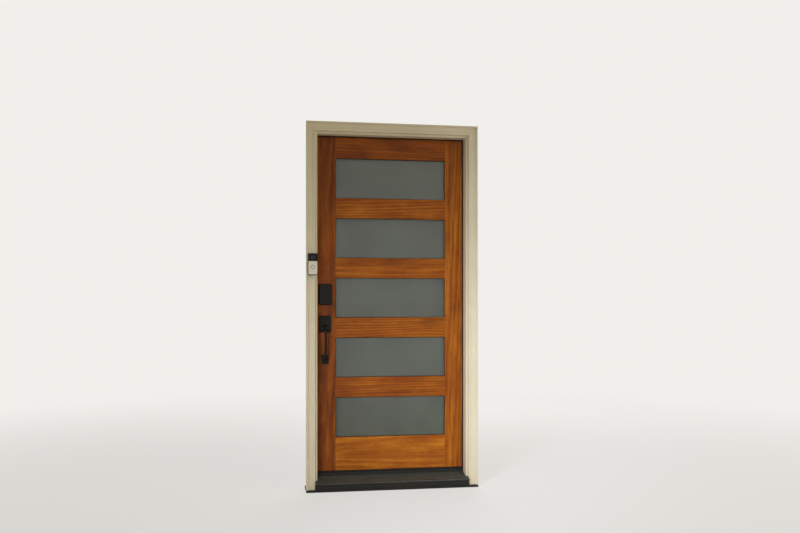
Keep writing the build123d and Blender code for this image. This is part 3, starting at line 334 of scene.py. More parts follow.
@dataclass(frozen=True)
class Mottled(Finish):
    """A moulded, coated or rolled surface: an even colour with a fine grit and slow variation.

    The grit breaks up the sheen, and the slow variation is what handling and weather leave.
    """

    name: str
    base: str
    other: str
    roughness: float
    grit_mm: float
    grit_depth_mm: float
    metallic: float = 0.0
    specular: float = 0.5
    stretch: Triple = (1, 1, 1)
    spread: float = 0.10
    cloud_mm: float = 35.0
    # grit times cloud lies mostly between these two
    mottle: Pair = (0.12, 0.42)

    def title(self) -> str:
        """The material's name."""
        return self.name

    def inputs(self, tree: Any) -> dict:
        """Grit times cloud gives the colour, cloud the gloss and grit the height.

        Args:
            tree: the material's node tree.

        Returns:
            The shader's inputs.
        """
        place = add_node(tree, "TexCoord", take="Object")
        drawn = add_node(tree, "Mapping", {"Vector": place, "Scale": self.stretch})
        grit = add_node(tree, "TexNoise", {"Vector": drawn, "Scale": per_metre(self.grit_mm),
                                           "Detail": 2.0})
        cloud = add_node(tree, "TexNoise", {"Vector": place, "Scale": per_metre(self.cloud_mm),
                                            "Detail": 4.0, "Roughness": 0.6})
        both = add_node(tree, "Math", {0: grit, 1: cloud}, operation="MULTIPLY")
        low, high = self.mottle
        colour = add_node(tree, "ValToRGB", {"Fac": both}, stops=((low, self.base), (high, self.other)))
        rough = add_node(tree, "MapRange", {"Value": cloud, "From Min": 0.3, "From Max": 0.7,
                                            "To Min": self.roughness - self.spread,
                                            "To Max": self.roughness + self.spread})
        relief = add_node(tree, "Bump", {"Height": grit, "Distance": self.grit_depth_mm * MM,
                                         "Strength": 0.7})
        return {"Base Color": colour, "Roughness": rough, "Normal": relief, "Metallic": self.metallic,
                "Specular IOR Level": self.specular}


@dataclass(frozen=True)
class FloatGlass(Finish):
    """Clear float glass, fire polished: a smooth pane over what lies behind, with faint dust."""

    tint: str = "#E6EDE8"
    clearness: float = 0.45
    dust_mm: float = 60.0

    def title(self) -> str:
        """The material's name."""
        return "clear_float_glass"

    def inputs(self, tree: Any) -> dict:
        """Dust varies the gloss alone.

        Args:
            tree: the material's node tree.

        Returns:
            The shader's inputs.
        """
        place = add_node(tree, "TexCoord", take="Object")
        dust = add_node(tree, "TexNoise", {"Vector": place, "Scale": per_metre(self.dust_mm),
                                           "Detail": 5.0})
        rough = add_node(tree, "MapRange", {"Value": dust, "From Min": 0.4, "From Max": 0.8,
                                            "To Min": 0.02, "To Max": 0.10})
        return {"Base Color": linear(self.tint), "Roughness": rough, "IOR": 1.52,
                "Transmission Weight": 1.0, "Alpha": self.clearness}


@dataclass(frozen=True)
class EtchedGlass(Finish):
    """Acid-etched glass with a grey-green body: it scatters what light passes and shows no outline.

    The etch is finer than the eye resolves, and its depth clouds slowly over the pane.
    """

    base: str = "#51554C"
    other: str = "#5F6359"
    cloud_mm: float = 170.0
    passes: float = 0.15

    def title(self) -> str:
        """The material's name."""
        return "acid_etched_glass"

    def inputs(self, tree: Any) -> dict:
        """One slow cloud gives the colour and the gloss.

        Args:
            tree: the material's node tree.

        Returns:
            The shader's inputs.
        """
        place = add_node(tree, "TexCoord", take="Object")
        cloud = add_node(tree, "TexNoise", {"Vector": place, "Scale": per_metre(self.cloud_mm),
                                            "Detail": 4.0})
        colour = add_node(tree, "ValToRGB", {"Fac": cloud}, stops=((0.3, self.base), (0.7, self.other)))
        rough = add_node(tree, "MapRange", {"Value": cloud, "To Min": 0.5, "To Max": 0.62})
        return {"Base Color": colour, "Roughness": rough, "IOR": 1.52, "Transmission Weight": self.passes}


# Real grit on these surfaces is around a tenth of a millimetre, too fine to show. It is drawn at 0.8
# to 2.2 mm, so that it shows close up and breaks up the sheen as the real one does from afar.

# Zinc castings under sprayed and baked powder: a faint orange peel under a low satin sheen.
POWDER_COAT = Mottled("satin_black_powder_coat_on_zinc", "#11100A", "#1B1910", 0.42, 0.9, 0.04,
                      specular=0.13)
# Cast acrylic, polished: deep black with clear reflections that fingers dull in patches.
BLACK_GLOSS = Mottled("polished_black_acrylic", "#0C0B08", "#13120D", 0.14, 2.0, 0.004, specular=0.2,
                      spread=0.05)
# Extruded and anodised dark: a soft metal grey with lines along the sill, so the grit is drawn out
# along X.
DARK_ANODISED = Mottled("dark_anodised_aluminium", "#393D3B", "#53574F", 0.40, 2.2, 0.02, metallic=0.25,
                        specular=0.25, stretch=(0.02, 1, 1))
# Wood flour and resin, moulded: dull black with a slightly coarse skin.
COMPOSITE = Mottled("moulded_black_composite", "#161612", "#24231E", 0.62, 1.5, 0.08, specular=0.25)
# Foam blown in a mould under its own skin: brown, matt and soft to the eye.
FOAM = Mottled("skinned_brown_foam", "#1C130C", "#2C2016", 0.72, 1.4, 0.06, specular=0.2)
# Pressed steel plated with bright zinc: silvery, with short upright lines left by rolling.
ZINC_STEEL = Mottled("zinc_plated_steel", "#8E8E8A", "#B0AFAA", 0.34, 1.0, 0.015, metallic=1.0,
                     stretch=(1, 1, 0.05))
# Aluminium as the mill leaves it: grey and half dull.
MILL_ALUMINIUM = Mottled("mill_finish_aluminium", "#8B8C8C", "#A6A7A7", 0.45, 0.8, 0.01, metallic=1.0)
# Moulded in a blasted tool: a pale warm grey with an even satin skin.
PALE_ABS = Mottled("moulded_satin_abs", "#CFCBBA", "#D9D6C7", 0.48, 0.8, 0.02, specular=0.35)
# Moulded smooth in smoked plastic: a mid grey ring with a soft shine.
SMOKED_RING = Mottled("smoked_polycarbonate_ring", "#6A675C", "#7B786C", 0.3, 0.8, 0.01, specular=0.35)
# Moulded in a fine tool: near black, with a soft shine at the edges.
BLACK_POLYCARBONATE = Mottled("moulded_black_polycarbonate", "#10100E", "#1A1A17", 0.3, 0.9, 0.02,
                              specular=0.25)
# Moulded smooth in dark grey: a lip that catches the light round the lens.
GREY_ABS = Mottled("moulded_dark_grey_abs", "#4A4840", "#59564D", 0.35, 0.8, 0.01, specular=0.35)
# Rubber moulded under heat: near black and matt, with a faint bloom.
RUBBER = Mottled("moulded_epdm_rubber", "#151514", "#20201E", 0.75, 1.0, 0.05, specular=0.25)
# Silicone run into the corner and smoothed wet: dark brown with a low shine and slow ripples.
SEALANT = Mottled("brown_silicone_sealant", "#241608", "#32200F", 0.45, 2.0, 0.05, specular=0.3)


# Meshes


def put_mesh(name: str, points: Array, faces: list, sharp_deg: float = 32.0) -> Any:
    """Makes an object of points and faces, smooth but for its sharp edges.

    Args:
        name: the piece's name.
        points: corner points in metres, one row each.
        faces: lists of point numbers, turning anticlockwise seen from outside.
        sharp_deg: edges that bend more than this stay sharp.

    Returns:
        The new object, at the origin.
    """
    mesh = bpy.data.meshes.new(name)
    mesh.from_pydata(points.reshape(-1, 3).tolist(), [], faces)
    mesh.validate()
    mesh.polygons.foreach_set("use_smooth", np.ones(len(mesh.polygons), bool))
    mesh.set_sharp_from_angle(angle=math.radians(sharp_deg))
    mesh.update()
    piece = bpy.data.objects.new(name, mesh)
    bpy.context.scene.collection.objects.link(piece)
    return piece


def skin(rings: Array, closed: bool, flip: bool, start: int) -> list:
    """Faces between neighbouring rings of points, with the first and last ring filled if open.

    Args:
        rings: stations by points of a closed outline by three.
        closed: whether the last station joins the first.
        flip: turns the faces round.
        start: number of the first point in the mesh.

    Returns:
        Lists of point numbers.
    """
    stations, around = rings.shape[:2]
    number = np.arange(stations * around).reshape(stations, around) + start
    ends = [] if closed else [number[0][::-1], number[-1]]
    if closed:
        number = np.vstack([number, number[:1]])
    low, high = number[:-1], number[1:]
    quads = np.stack([low, np.roll(low, -1, 1), np.roll(high, -1, 1), high], -1).reshape(-1, 4)
    way = -1 if flip else 1
    return quads[:, ::way].tolist() + [end[::way].tolist() for end in ends]


def signed_volume(rings: Array, closed: bool) -> float:
    """Volume by the divergence rule: a sum of corner products over the fan of triangles of each face
    that skin puts between neighbouring rings and, on an open stack, over its two end rings.

    Args:
        rings: stations by points of a closed outline by three.
        closed: whether the last station joins the first.

    Returns:
        The volume, above zero when the faces look outwards.
    """
    stack = np.vstack([rings, rings[:1]]) if closed else rings
    low, high = stack[:-1], stack[1:]
    after, across = np.roll(low, -1, 1), np.roll(high, -1, 1)
    total = ((np.cross(after, across) + np.cross(across, high)) * low).sum()
    for end in () if closed else (rings[0][::-1], rings[-1]):
        total += (np.cross(end[1:-1], end[2:]) * end[0]).sum()
    return float(total) / 6.0


def put_rings(name: str, groups: Sequence[Array], closed: bool = False) -> Any:
    """One object of several skinned ring stacks, each turned so that its faces look outwards.

    Args:
        name: the piece's name.
        groups: ring stacks, each stations by points by three.
        closed: whether each stack joins its last ring to its first.

    Returns:
        The new object.
    """
    points: list[Array] = []
    faces: list = []
    start = 0
    for rings in groups:
        flip = signed_volume(rings, closed) < 0
        faces += skin(rings, closed, flip, start)
        points.append(rings.reshape(-1, 3))
        start += rings.shape[0] * rings.shape[1]
    return put_mesh(name, np.vstack(points), faces)


def round_angles(count: int) -> Array:
    """Even angles once round a circle, in radians."""
    return np.linspace(0, 2 * math.pi, count, endpoint=False)


def ramp(value: Array, start: float, end: float) -> Array:
    """Straight rise from 0 at the start to 1 at the end, level outside them."""
    return np.clip((value - start) / (end - start), 0.0, 1.0)


def fuller(wave: Array, power: float) -> Array:
    """A sine or cosine raised to a power below one, its sign kept, which squares up a circle."""
    return np.sign(wave) * np.abs(wave) ** power


def arc(centre: Sequence[float], radius: float, first_deg: float, last_deg: float,
        steps: int = 7) -> Array:
    """Points of a circular arc: the centre plus the radius times cosine and sine of even angles.

    Args:
        centre: the arc's centre.
        radius: its radius.
        first_deg: angle of the first point, from the first coordinate towards the second.
        last_deg: angle of the last point.
        steps: how many points.

    Returns:
        Points by two.
    """
    angle = np.radians(np.linspace(first_deg, last_deg, steps))
    return np.array(centre) + radius * np.stack([np.cos(angle), np.sin(angle)], -1)


def rim_profile(face: float, radius: float, soft: float, steps: int) -> Array:
    """Profile of a turned piece's rim: a quarter circle from its side onto its face.

    Args:
        face: place of the face along the axis.
        radius: outer radius.
        soft: radius of the rounding.
        steps: how many points.

    Returns:
        Place along the axis and radius of each point.
    """
    return arc((face - soft, radius - soft), soft, 90.0, 0.0, steps)


def rounded_rectangle(width: float, height: float, radius: float, steps: int) -> Array:
    """Outline of a rectangle with quarter-circle corners: the corner's centre plus the radius times
    cosine and sine of an angle that runs through a right angle at each corner.

    Args:
        width: outline's width.
        height: outline's height.
        radius: corner radius.
        steps: points in each corner.

    Returns:
        Points by two.
    """
    radius = max(min(radius, width / 2, height / 2), 1e-5)
    angle = np.linspace(0, math.pi / 2, steps)[None] + np.arange(4)[:, None] * math.pi / 2
    sign = np.array([(1, 1), (-1, 1), (-1, -1), (1, -1)])[:, None]
    centre = sign * np.array([width / 2 - radius, height / 2 - radius])
    return (centre + radius * np.stack([np.cos(angle), np.sin(angle)], -1)).reshape(-1, 2)


def evenly(outline: Array, count: int) -> Array:
    """Points at even steps of the length along a closed outline.

    Args:
        outline: corner points by two.
        count: how many points.

    Returns:
        Points by two.
    """
    closed = np.vstack([outline, outline[:1]])
    travel = np.concatenate([[0.0], np.cumsum(np.linalg.norm(np.diff(closed, axis=0), axis=1))])
    steps = np.linspace(0.0, travel[-1], count, endpoint=False)
    return np.stack([np.interp(steps, travel, closed[:, i]) for i in range(2)], -1)


def plate_rings(x: float, z: float, width: float, height: float, radius: float,
                stations: Sequence[Sequence[float]], steps: int = 8) -> Array:
    """Rounded rectangles stacked along Y: each station insets the outline and gives its depth.

    Args:
        x: middle across.
        z: middle height.
        width: outline's width.
        height: outline's height.
        radius: corner radius.
        stations: inset and Y of each ring, in metres.
        steps: points in each corner.

    Returns:
        Stations by points by three.
    """
    least_radius = 0.4 * MM
    rings = []
    for inset, y in stations:
        flat = rounded_rectangle(width - 2 * inset, height - 2 * inset, max(radius - inset, least_radius),
                                 steps)
        rings.append(np.stack([flat[:, 0] + x, np.full(len(flat), y), flat[:, 1] + z], -1))
    return np.array(rings)


def eased(inset: float, near: float, far: float, radius: float, steps: int = 6) -> Array:
    """Stations of a plate's edge: straight from the back, then a quarter circle onto the face.

    Args:
        inset: inset of the straight part.
        near: Y at the back.
        far: Y of the face.
        radius: radius of the easing.
        steps: rings in the quarter circle.

    Returns:
        Inset and Y of each ring.
    """
    way = 1.0 if far > near else -1.0
    curve = arc((inset + radius, far - way * radius), radius, 180.0, 180.0 - 90.0 * way, steps)
    return np.vstack([[inset, near], curve])


def turned_rings(centre: Sequence[float], profile: Sequence[Sequence[float]], axis: str = "y",
                 around: int = 64) -> Array:
    """A profile turned round an axis: radius times cosine and sine of the angle at each place.

    Args:
        centre: the axis' own zero point.
        profile: place along the axis and radius of each ring.
        axis: x, y or z.
        around: points round the axis.

    Returns:
        Stations by points by three.
    """
    angle = round_angles(around)
    along, radius = np.array(profile)[:, :1], np.array(profile)[:, 1:]
    a, b, c = radius * np.cos(angle), radius * np.sin(angle), np.repeat(along, around, 1)
    order = {"x": (c, a, b), "y": (a, c, b), "z": (a, b, c)}[axis]
    return np.stack(order, -1) + np.array(centre)


def stick(section: Array, start: Array, end: Array) -> Array:
    """A straight moulding between two mitred ends.

    Each end moves a section point (u, t) by u along its own mitre and by t along Y.

    Args:
        section: outline points by two, in metres.
        start: rows of origin, mitre direction and depth direction at the first end.
        end: the same rows at the last end.

    Returns:
        Two stations by points by three.
    """
    u, t = section[:, :1], section[:, 1:]
    return np.array([place[0] + u * place[1] + t * place[2] for place in (start, end)])


def dress(piece: Any, finish: Finish, body: Body, slot: Slot, *replaced: str) -> None:
    """Gives a new piece its finish and body, and hides the CAD nodes that it stands for.

    Args:
        piece: the new object.
        finish: its finish.
        body: the body it rides on.
        slot: the record's material slot; not used.
        replaced: CAD nodes that it replaces.
    """
    piece.data.materials.clear()
    piece.data.materials.append(finish.build())
    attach(piece, body.value)
    if replaced:
        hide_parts(*replaced)
    LOG.info("%s rides on %s, %d faces", piece.name, body.value, len(piece.data.polygons))


def middle_of(node: str) -> Triple:
    """Middle of a CAD node's box."""
    low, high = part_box(node)
    return tuple((low + high) / 2)


def paint_nodes(finish: Finish, *names: str) -> None:
    """Gives CAD nodes a finish, leaving their meshes as they are.

    Args:
        finish: the finish.
        names: the nodes.
    """
    for name in names:
        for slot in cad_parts[name].material_slots:
            slot.material = finish.build()
        LOG.info("%s is dressed in %s", name, finish.title())


# Sub-assemblies


@dataclass(frozen=True)
class Screw:
    """A screw with a domed head and a cross recess, standing flush or proud of its seat."""

    radius_mm: float = 4.4
    dome_mm: float = 0.25
    rim_mm: float = 0.05
    recess_mm: float = 1.3
    blade_mm: float = 0.55
    # how wide the recess is at its top, in blades
    mouth: float = 1.7
    reach_mm: float = 2.4
    fade_mm: float = 0.6
    seat_mm: float = 0.1
    cone_mm: float = 2.2
    shank_mm: float = 2.1
    length_mm: float = 18.0
    hub_share: float = 0.04
    around: int = 48
    radial: int = 11

    def rings(self, centre: Sequence[float], facing: Sequence[float]) -> Array:
        """Rings of one screw: its face from the middle out, then its cone and shank.

        The face is a parabola of the radius minus the recess, which is deep where the point lies near
        either of two crossed lines and fades out towards the recess's reach.

        Args:
            centre: middle of the seat's face.
            facing: the way that the head looks.

        Returns:
            Stations by points by three.
        """
        ahead = np.array(facing, float)
        side = np.array([0.0, 0.0, 1.0]) if abs(ahead[2]) < 0.5 else np.array([0.0, 1.0, 0.0])
        other = np.cross(ahead, side)
        angle = round_angles(self.around)
        share = np.linspace(self.hub_share, 1.0, self.radial)[:, None]
        radius = share * self.radius_mm
        near = np.minimum(np.abs(radius * np.cos(angle)), np.abs(radius * np.sin(angle)))
        groove = ramp(near, self.mouth * self.blade_mm, (self.mouth - 1) * self.blade_mm)
        fade = ramp(radius, self.reach_mm, self.reach_mm - self.fade_mm)
        face = self.rim_mm + self.dome_mm * (1 - share ** 2) - self.recess_mm * groove * fade
        below = np.array([[self.radius_mm, -self.seat_mm], [self.shank_mm, -self.cone_mm],
                          [self.shank_mm, -self.length_mm]])
        radius = np.vstack([radius, below[:, :1]])
        height = np.vstack([face, np.repeat(below[:, 1:], self.around, 1)])
        flat = (radius * np.cos(angle))[..., None] * side + (radius * np.sin(angle))[..., None] * other
        return np.array(centre, float) + (flat + height[..., None] * ahead) * MM


@dataclass
class Leaf:
    """The stile-and-rail leaf with its five lites, their beads and sealant."""

    lites: int = 5
    # each board's tone is partly stain and partly painted light: painted shade darkens the lock stile and
    # the top rail, painted light brightens the hinge stile and the bottom rail
    stile_tones_and_painted_light: Pair = (-0.18, 0.10)
    rail_tones_and_painted_light: tuple[float, ...] = (0.22, 0.0, 0.05, 0.10, 0.08, -0.12)
    sealant_leg_mm: float = 3.2
    lip_mm: float = 12.0
    pane_play_mm: float = 2.0
    bead_play_mm: float = 0.3
    bead_step_mm: float = 0.9
    bead_radius_mm: float = 7.0
    mitre_gap_mm: float = 0.06

    def sight_corners(self, lite: int) -> Array:
        """Corners of one lite's visible opening, anticlockwise from the lower left.

        Args:
            lite: the lite's number, from the foot of the door.

        Returns:
            Four points by two, across and up.
        """
        low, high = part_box(f"outer_lite_{lite}")
        cover = (self.lip_mm - self.pane_play_mm) * MM
        left, right, bottom, top = low.x + cover, high.x - cover, low.z + cover, high.z - cover
        return np.array([(left, bottom), (right, bottom), (right, top), (left, top)])

    def dress_boards(self) -> None:
        """Stains each board with its own grain and depth of colour, which is partly painted light: painted
        shade on the lock stile and top rail, painted light on the hinge stile and bottom rail.
        """
        for board, (name, tone_and_painted_light) in enumerate(zip(("lock_stile", "hinge_stile"), self.stile_tones_and_painted_light)):
            paint_nodes(StainedTimber(Grain.UPRIGHT, board, middle_of(name), tone_and_painted_light), name)
        names = ["bottom_rail"] + [f"cross_rail_{i}" for i in range(1, self.lites)] + ["top_rail"]
        for board, (name, tone_and_painted_light) in enumerate(zip(names, self.rail_tones_and_painted_light), start=2):
            paint_nodes(StainedTimber(Grain.ACROSS, board, middle_of(name), tone_and_painted_light), name)

    def dress_glass(self) -> None:
        """Glazes the lites."""
        paint_nodes(FloatGlass(), *[f"outer_lite_{i}" for i in range(1, self.lites + 1)])
        paint_nodes(EtchedGlass(), "inner_lites")
        paint_nodes(MILL_ALUMINIUM, "glass_spacers")
        paint_nodes(RUBBER, "setting_blocks", "door_sweep")

    def sealant_lines(self) -> Any:
        """A hollow fillet of sealant in the corner of wood and glass, carried round each lite.

        The section is a square corner whose long side is a quarter circle sunk into it; the path is
        the lite's rectangle, mitred at its corners.

        Returns:
            The new object.
        """
        leg = self.sealant_leg_mm * MM
        section = np.vstack([[0.0, 0.0], arc((leg, leg), leg, 270.0, 180.0)])
        inwards = np.array([(1, 1), (-1, 1), (-1, -1), (1, -1)])[:, None]
        groups = []
        for lite in range(1, self.lites + 1):
            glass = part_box(f"outer_lite_{lite}")[0].y
            flat = self.sight_corners(lite)[:, None] + inwards * section[None, :, :1]
            depth = np.broadcast_to(glass - section[None, :, 1], flat.shape[:2])
            groups.append(np.stack([flat[..., 0], depth, flat[..., 1]], -1))
        return put_rings("lite_sealant", groups, closed=True)

    def bead_section(self) -> Array:
        """A glazing bead's outline: a small step at the glass, then a quarter round to the house side.

        Returns:
            Points by two: distance outwards from the visible opening and distance from the glass.
        """
        low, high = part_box("glazing_beads")
        rise, width = high.y - low.y, (self.lip_mm - self.bead_play_mm) * MM
        step, radius = self.bead_step_mm * MM, self.bead_radius_mm * MM
        curve = arc((step + radius, rise - radius), radius, 180.0, 90.0, 9)
        return np.vstack([[0.0, 0.0], [0.0, rise - radius - step], [step, rise - radius - step], curve,
                          [width, rise], [width, 0.0]])

    def glazing_beads(self) -> None:
        """Four mitred beads round each lite on the house side, each with its grain along it."""
        section = self.bead_section()
        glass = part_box("glazing_beads")[0].y
        ways = np.array([(-1, -1), (1, -1), (1, 1), (-1, 1)])
        sides: dict[Grain, list[Array]] = {Grain.ACROSS: [], Grain.UPRIGHT: []}
        for lite in range(1, self.lites + 1):
            corners = self.sight_corners(lite)
            for side in range(4):
                ends = []
                for corner, sign in ((side, 1), ((side + 1) % 4, -1)):
                    run = (corners[(side + 1) % 4] - corners[side]) * sign
                    place = corners[corner] + run / np.linalg.norm(run) * self.mitre_gap_mm * MM
                    ends.append(np.array([(place[0], glass, place[1]),
                                          (ways[corner][0], 0.0, ways[corner][1]), INWARDS]))
                sides[Grain.ACROSS if side % 2 == 0 else Grain.UPRIGHT].append(stick(section, *ends))
        for board, (grain, groups) in enumerate(sides.items(), start=9):
            dress(put_rings(f"glazing_beads_{grain.value}", groups), StainedTimber(grain, board),
                  Body.LEAF, Slot.STAINED, "glazing_beads")

    def build(self) -> None:
        """Dresses the leaf and adds its beads and sealant."""
        self.dress_boards()
        self.dress_glass()
        self.glazing_beads()
        dress(self.sealant_lines(), SEALANT, Body.LEAF, Slot.SEAL)


@dataclass
class Casing:
    """The moulded casing on three sides: two legs and a head, mitred at the top corners."""

    width_mm: float = 54.0
    thickness_mm: float = 32.0
    bead_mm: float = 22.0
    bead_width_mm: float = 13.0
    bead_radius_mm: float = 5.0
    bead_corner_mm: float = 1.0
    cove_mm: float = 4.0
    flat_rise_mm: float = 3.0
    # the flat's end and the hollow beside the band: insets from the band, and the hollow's radius
    flat_inset_mm: float = 3.0
    flat_fall_mm: float = 0.2
    hollow_inset_mm: float = 2.2
    hollow_mm: float = 2.0
    band_mm: float = 10.0
    band_corner_mm: float = 1.4
    band_radius_mm: float = 2.5
    mitre_gap_mm: float = 0.25

    def section(self) -> Array:
        """The moulding's outline, from its inner back corner round the face to its outer back corner:
        a rounded bead, a hollow, a slightly rising flat and a rounded band.

        Returns:
            Points by two: distance outwards from the opening and distance out from the wall, in metres.
        """
        bead, corner, cove, hollow = self.bead_radius_mm, self.bead_corner_mm, self.cove_mm, self.hollow_mm
        top, edge, outer, face = self.bead_mm, self.bead_width_mm, self.width_mm, self.thickness_mm
        start, inner, band = outer - self.band_mm, self.band_corner_mm, self.band_radius_mm
        rise = top - cove + self.flat_rise_mm
        return MM * np.vstack([
            [0.0, 0.0],
            arc((bead, top - bead), bead, 180, 90),
            arc((edge - corner, top - corner), corner, 90, 0),
            arc((edge + cove, top), cove, 180, 270)[1:],
            [start - self.flat_inset_mm, rise - self.flat_fall_mm],
            arc((start - self.hollow_inset_mm, rise + hollow), hollow, 270, 360),
            arc((start + inner, face - inner), inner, 180, 90),
            arc((outer - band, face - band), band, 90, 0),
            [outer, 0.0]])

    def build(self) -> None:
        """Carries the section up each leg and across the head."""
        low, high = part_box("brickmould_left")
        foot, under = low.z, high.z - self.width_mm * MM
        gap = self.mitre_gap_mm * MM
        section = self.section()
        for name, side in (("left", -1), ("right", 1)):
            edge = side * abs(high.x)
            at_foot = np.array([(edge, 0, foot), (side, 0, 0), OUTWARDS])
            at_top = np.array([(edge, 0, under), (side, 0, 1), OUTWARDS])
            dress(put_rings(f"casing_{name}", [stick(section, at_foot, at_top)]),
                  PaintedTimber(Grain.UPRIGHT), Body.FRAME, Slot.PAINTED, f"brickmould_{name}")
        ends = [np.array([(side * (abs(high.x) - gap), 0, under), (side, 0, 1), OUTWARDS])
                for side in (-1, 1)]
        dress(put_rings("casing_head", [stick(section, *ends)]), PaintedTimber(Grain.ACROSS), Body.FRAME,
              Slot.PAINTED, "brickmould_head")


@dataclass
class FrameAndSill:
    """Jambs, seals and the sill."""

    cap_screws: int = 4

    def build(self) -> None:
        """Dresses the frame's own nodes and screws the sill's cap down."""
        paint_nodes(PaintedTimber(Grain.UPRIGHT), "strike_jamb", "hinge_jamb", "lock_block")
        paint_nodes(PaintedTimber(Grain.ACROSS), "head_jamb")
        paint_nodes(FOAM, "weatherstrips")
        paint_nodes(COMPOSITE, "sill_base", "sill_substrate", "sill_cap")
        paint_nodes(DARK_ANODISED, "sill_deck")
        low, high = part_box("sill_cap_screws")
        cap_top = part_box("sill_cap")[1].z
        screw = Screw(length_mm=(high.z - low.z) / MM)
        inset = screw.radius_mm * MM
        places = np.linspace(low.x + inset, high.x - inset, self.cap_screws)
        rings = [screw.rings((x, (low.y + high.y) / 2, cap_top), (0, 0, 1)) for x in places]
        dress(put_rings("cap_screws", rings), ZINC_STEEL, Body.FRAME, Slot.STEEL, "sill_cap_screws")


@dataclass
class HingesAndStrikes:
    """Three butt hinges on loose pins and two strike plates, all screwed on with flat heads."""

    hinges: int = 3
    rows: int = 4
    stagger_mm: float = 5.5
    jamb_mm: float = 19.0
    leaf_screw_mm: float = 24.0
    strike_screw_spacing_mm: float = 50.0
    pin_radius_mm: float = 3.35
    # the foot's length as a share of the pin's radius, and how far the roundings are carried
    foot_share: float = 0.4
    rounding_deg: float = 86.4
    cap_gap_mm: float = 0.1
    cap_radius_mm: float = 5.6
    cap_height_mm: float = 4.0
    cap_round_mm: float = 1.6
    cap_hub_mm: float = 0.8

    def hinge_places(self, plate: str, facing: float) -> list[tuple]:
        """Staggered screw places on one hinge plate.

        Args:
            plate: the CAD node.
            facing: the way that its face looks along X.

        Returns:
            Centre and facing of each screw.
        """
        low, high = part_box(plate)
        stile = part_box("hinge_stile")[1]
        x = stile.x if facing > 0 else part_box("hinge_jamb")[1].x - self.jamb_mm * MM
        middle = (low.y + stile.y) / 2
        pitch = (high.z - low.z) / self.rows
        return [((x, middle + self.stagger_mm * MM * (1 if i % 2 else -1), low.z + (i + 0.5) * pitch),
                 (facing, 0, 0)) for i in range(self.rows)]

    def strike_places(self, plate: str) -> list[tuple]:
        """The two screw places of one strike plate, facing the doorway.

        Args:
            plate: the CAD node.

        Returns:
            Centre and facing of each screw.
        """
        _, y, z = middle_of(plate)
        half = self.strike_screw_spacing_mm * MM / 2
        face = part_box(plate)[1].x
        return [((face, y, z + dz), (1, 0, 0)) for dz in (-half, half)]

    def pin(self, hinge: int) -> Array:
        """A loose pin: a turned rod whose foot is a quarter ellipse, and a cap with a quarter-circle rim.

        Args:
            hinge: the hinge's number, from the foot of the door.

        Returns:
            Stations by points by three.
        """
        low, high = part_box(f"hinge_jamb_leaf_{hinge}")
        x, y, _ = middle_of("hinge_pins")
        pin, cap, soft = self.pin_radius_mm * MM, self.cap_radius_mm * MM, self.cap_round_mm * MM
        seat, top = high.z + self.cap_gap_mm * MM, high.z + self.cap_height_mm * MM
        angle = np.radians(np.linspace(self.rounding_deg, 0.0, 7))
        foot = np.stack([low.z + pin * self.foot_share * (1 - np.sin(angle)), pin * np.cos(angle)], -1)
        edge = arc((top - soft, cap - soft), soft, 90.0, 90.0 - self.rounding_deg)
        profile = np.vstack([foot, [seat, pin], [seat, cap], edge, [top, self.cap_hub_mm * MM]])
        return turned_rings((x, y, 0), profile, axis="z", around=40)

    def build(self) -> None:
        """Dresses the plates and adds pins and screws."""
        numbers = range(1, self.hinges + 1)
        paint_nodes(POWDER_COAT, "latch_strike", "deadbolt_strike",
                    *[f"hinge_{part}_leaf_{i}" for part in ("jamb", "door") for i in numbers])
        dress(put_rings("hinge_pin_set", [self.pin(i) for i in numbers]), POWDER_COAT, Body.FRAME,
              Slot.BLACK, "hinge_pins")
        short, long = Screw(), Screw(length_mm=self.leaf_screw_mm)
        jamb = [place for i in numbers for place in self.hinge_places(f"hinge_jamb_leaf_{i}", -1)]
        jamb += self.strike_places("latch_strike") + self.strike_places("deadbolt_strike")
        door = [place for i in numbers for place in self.hinge_places(f"hinge_door_leaf_{i}", 1)]
        dress(put_rings("frame_screws", [short.rings(*place) for place in jamb]), POWDER_COAT, Body.FRAME,
              Slot.BLACK, "jamb_screws")
        dress(put_rings("leaf_screws", [long.rings(*place) for place in door]), POWDER_COAT, Body.LEAF,
              Slot.BLACK, "hinge_door_screws")


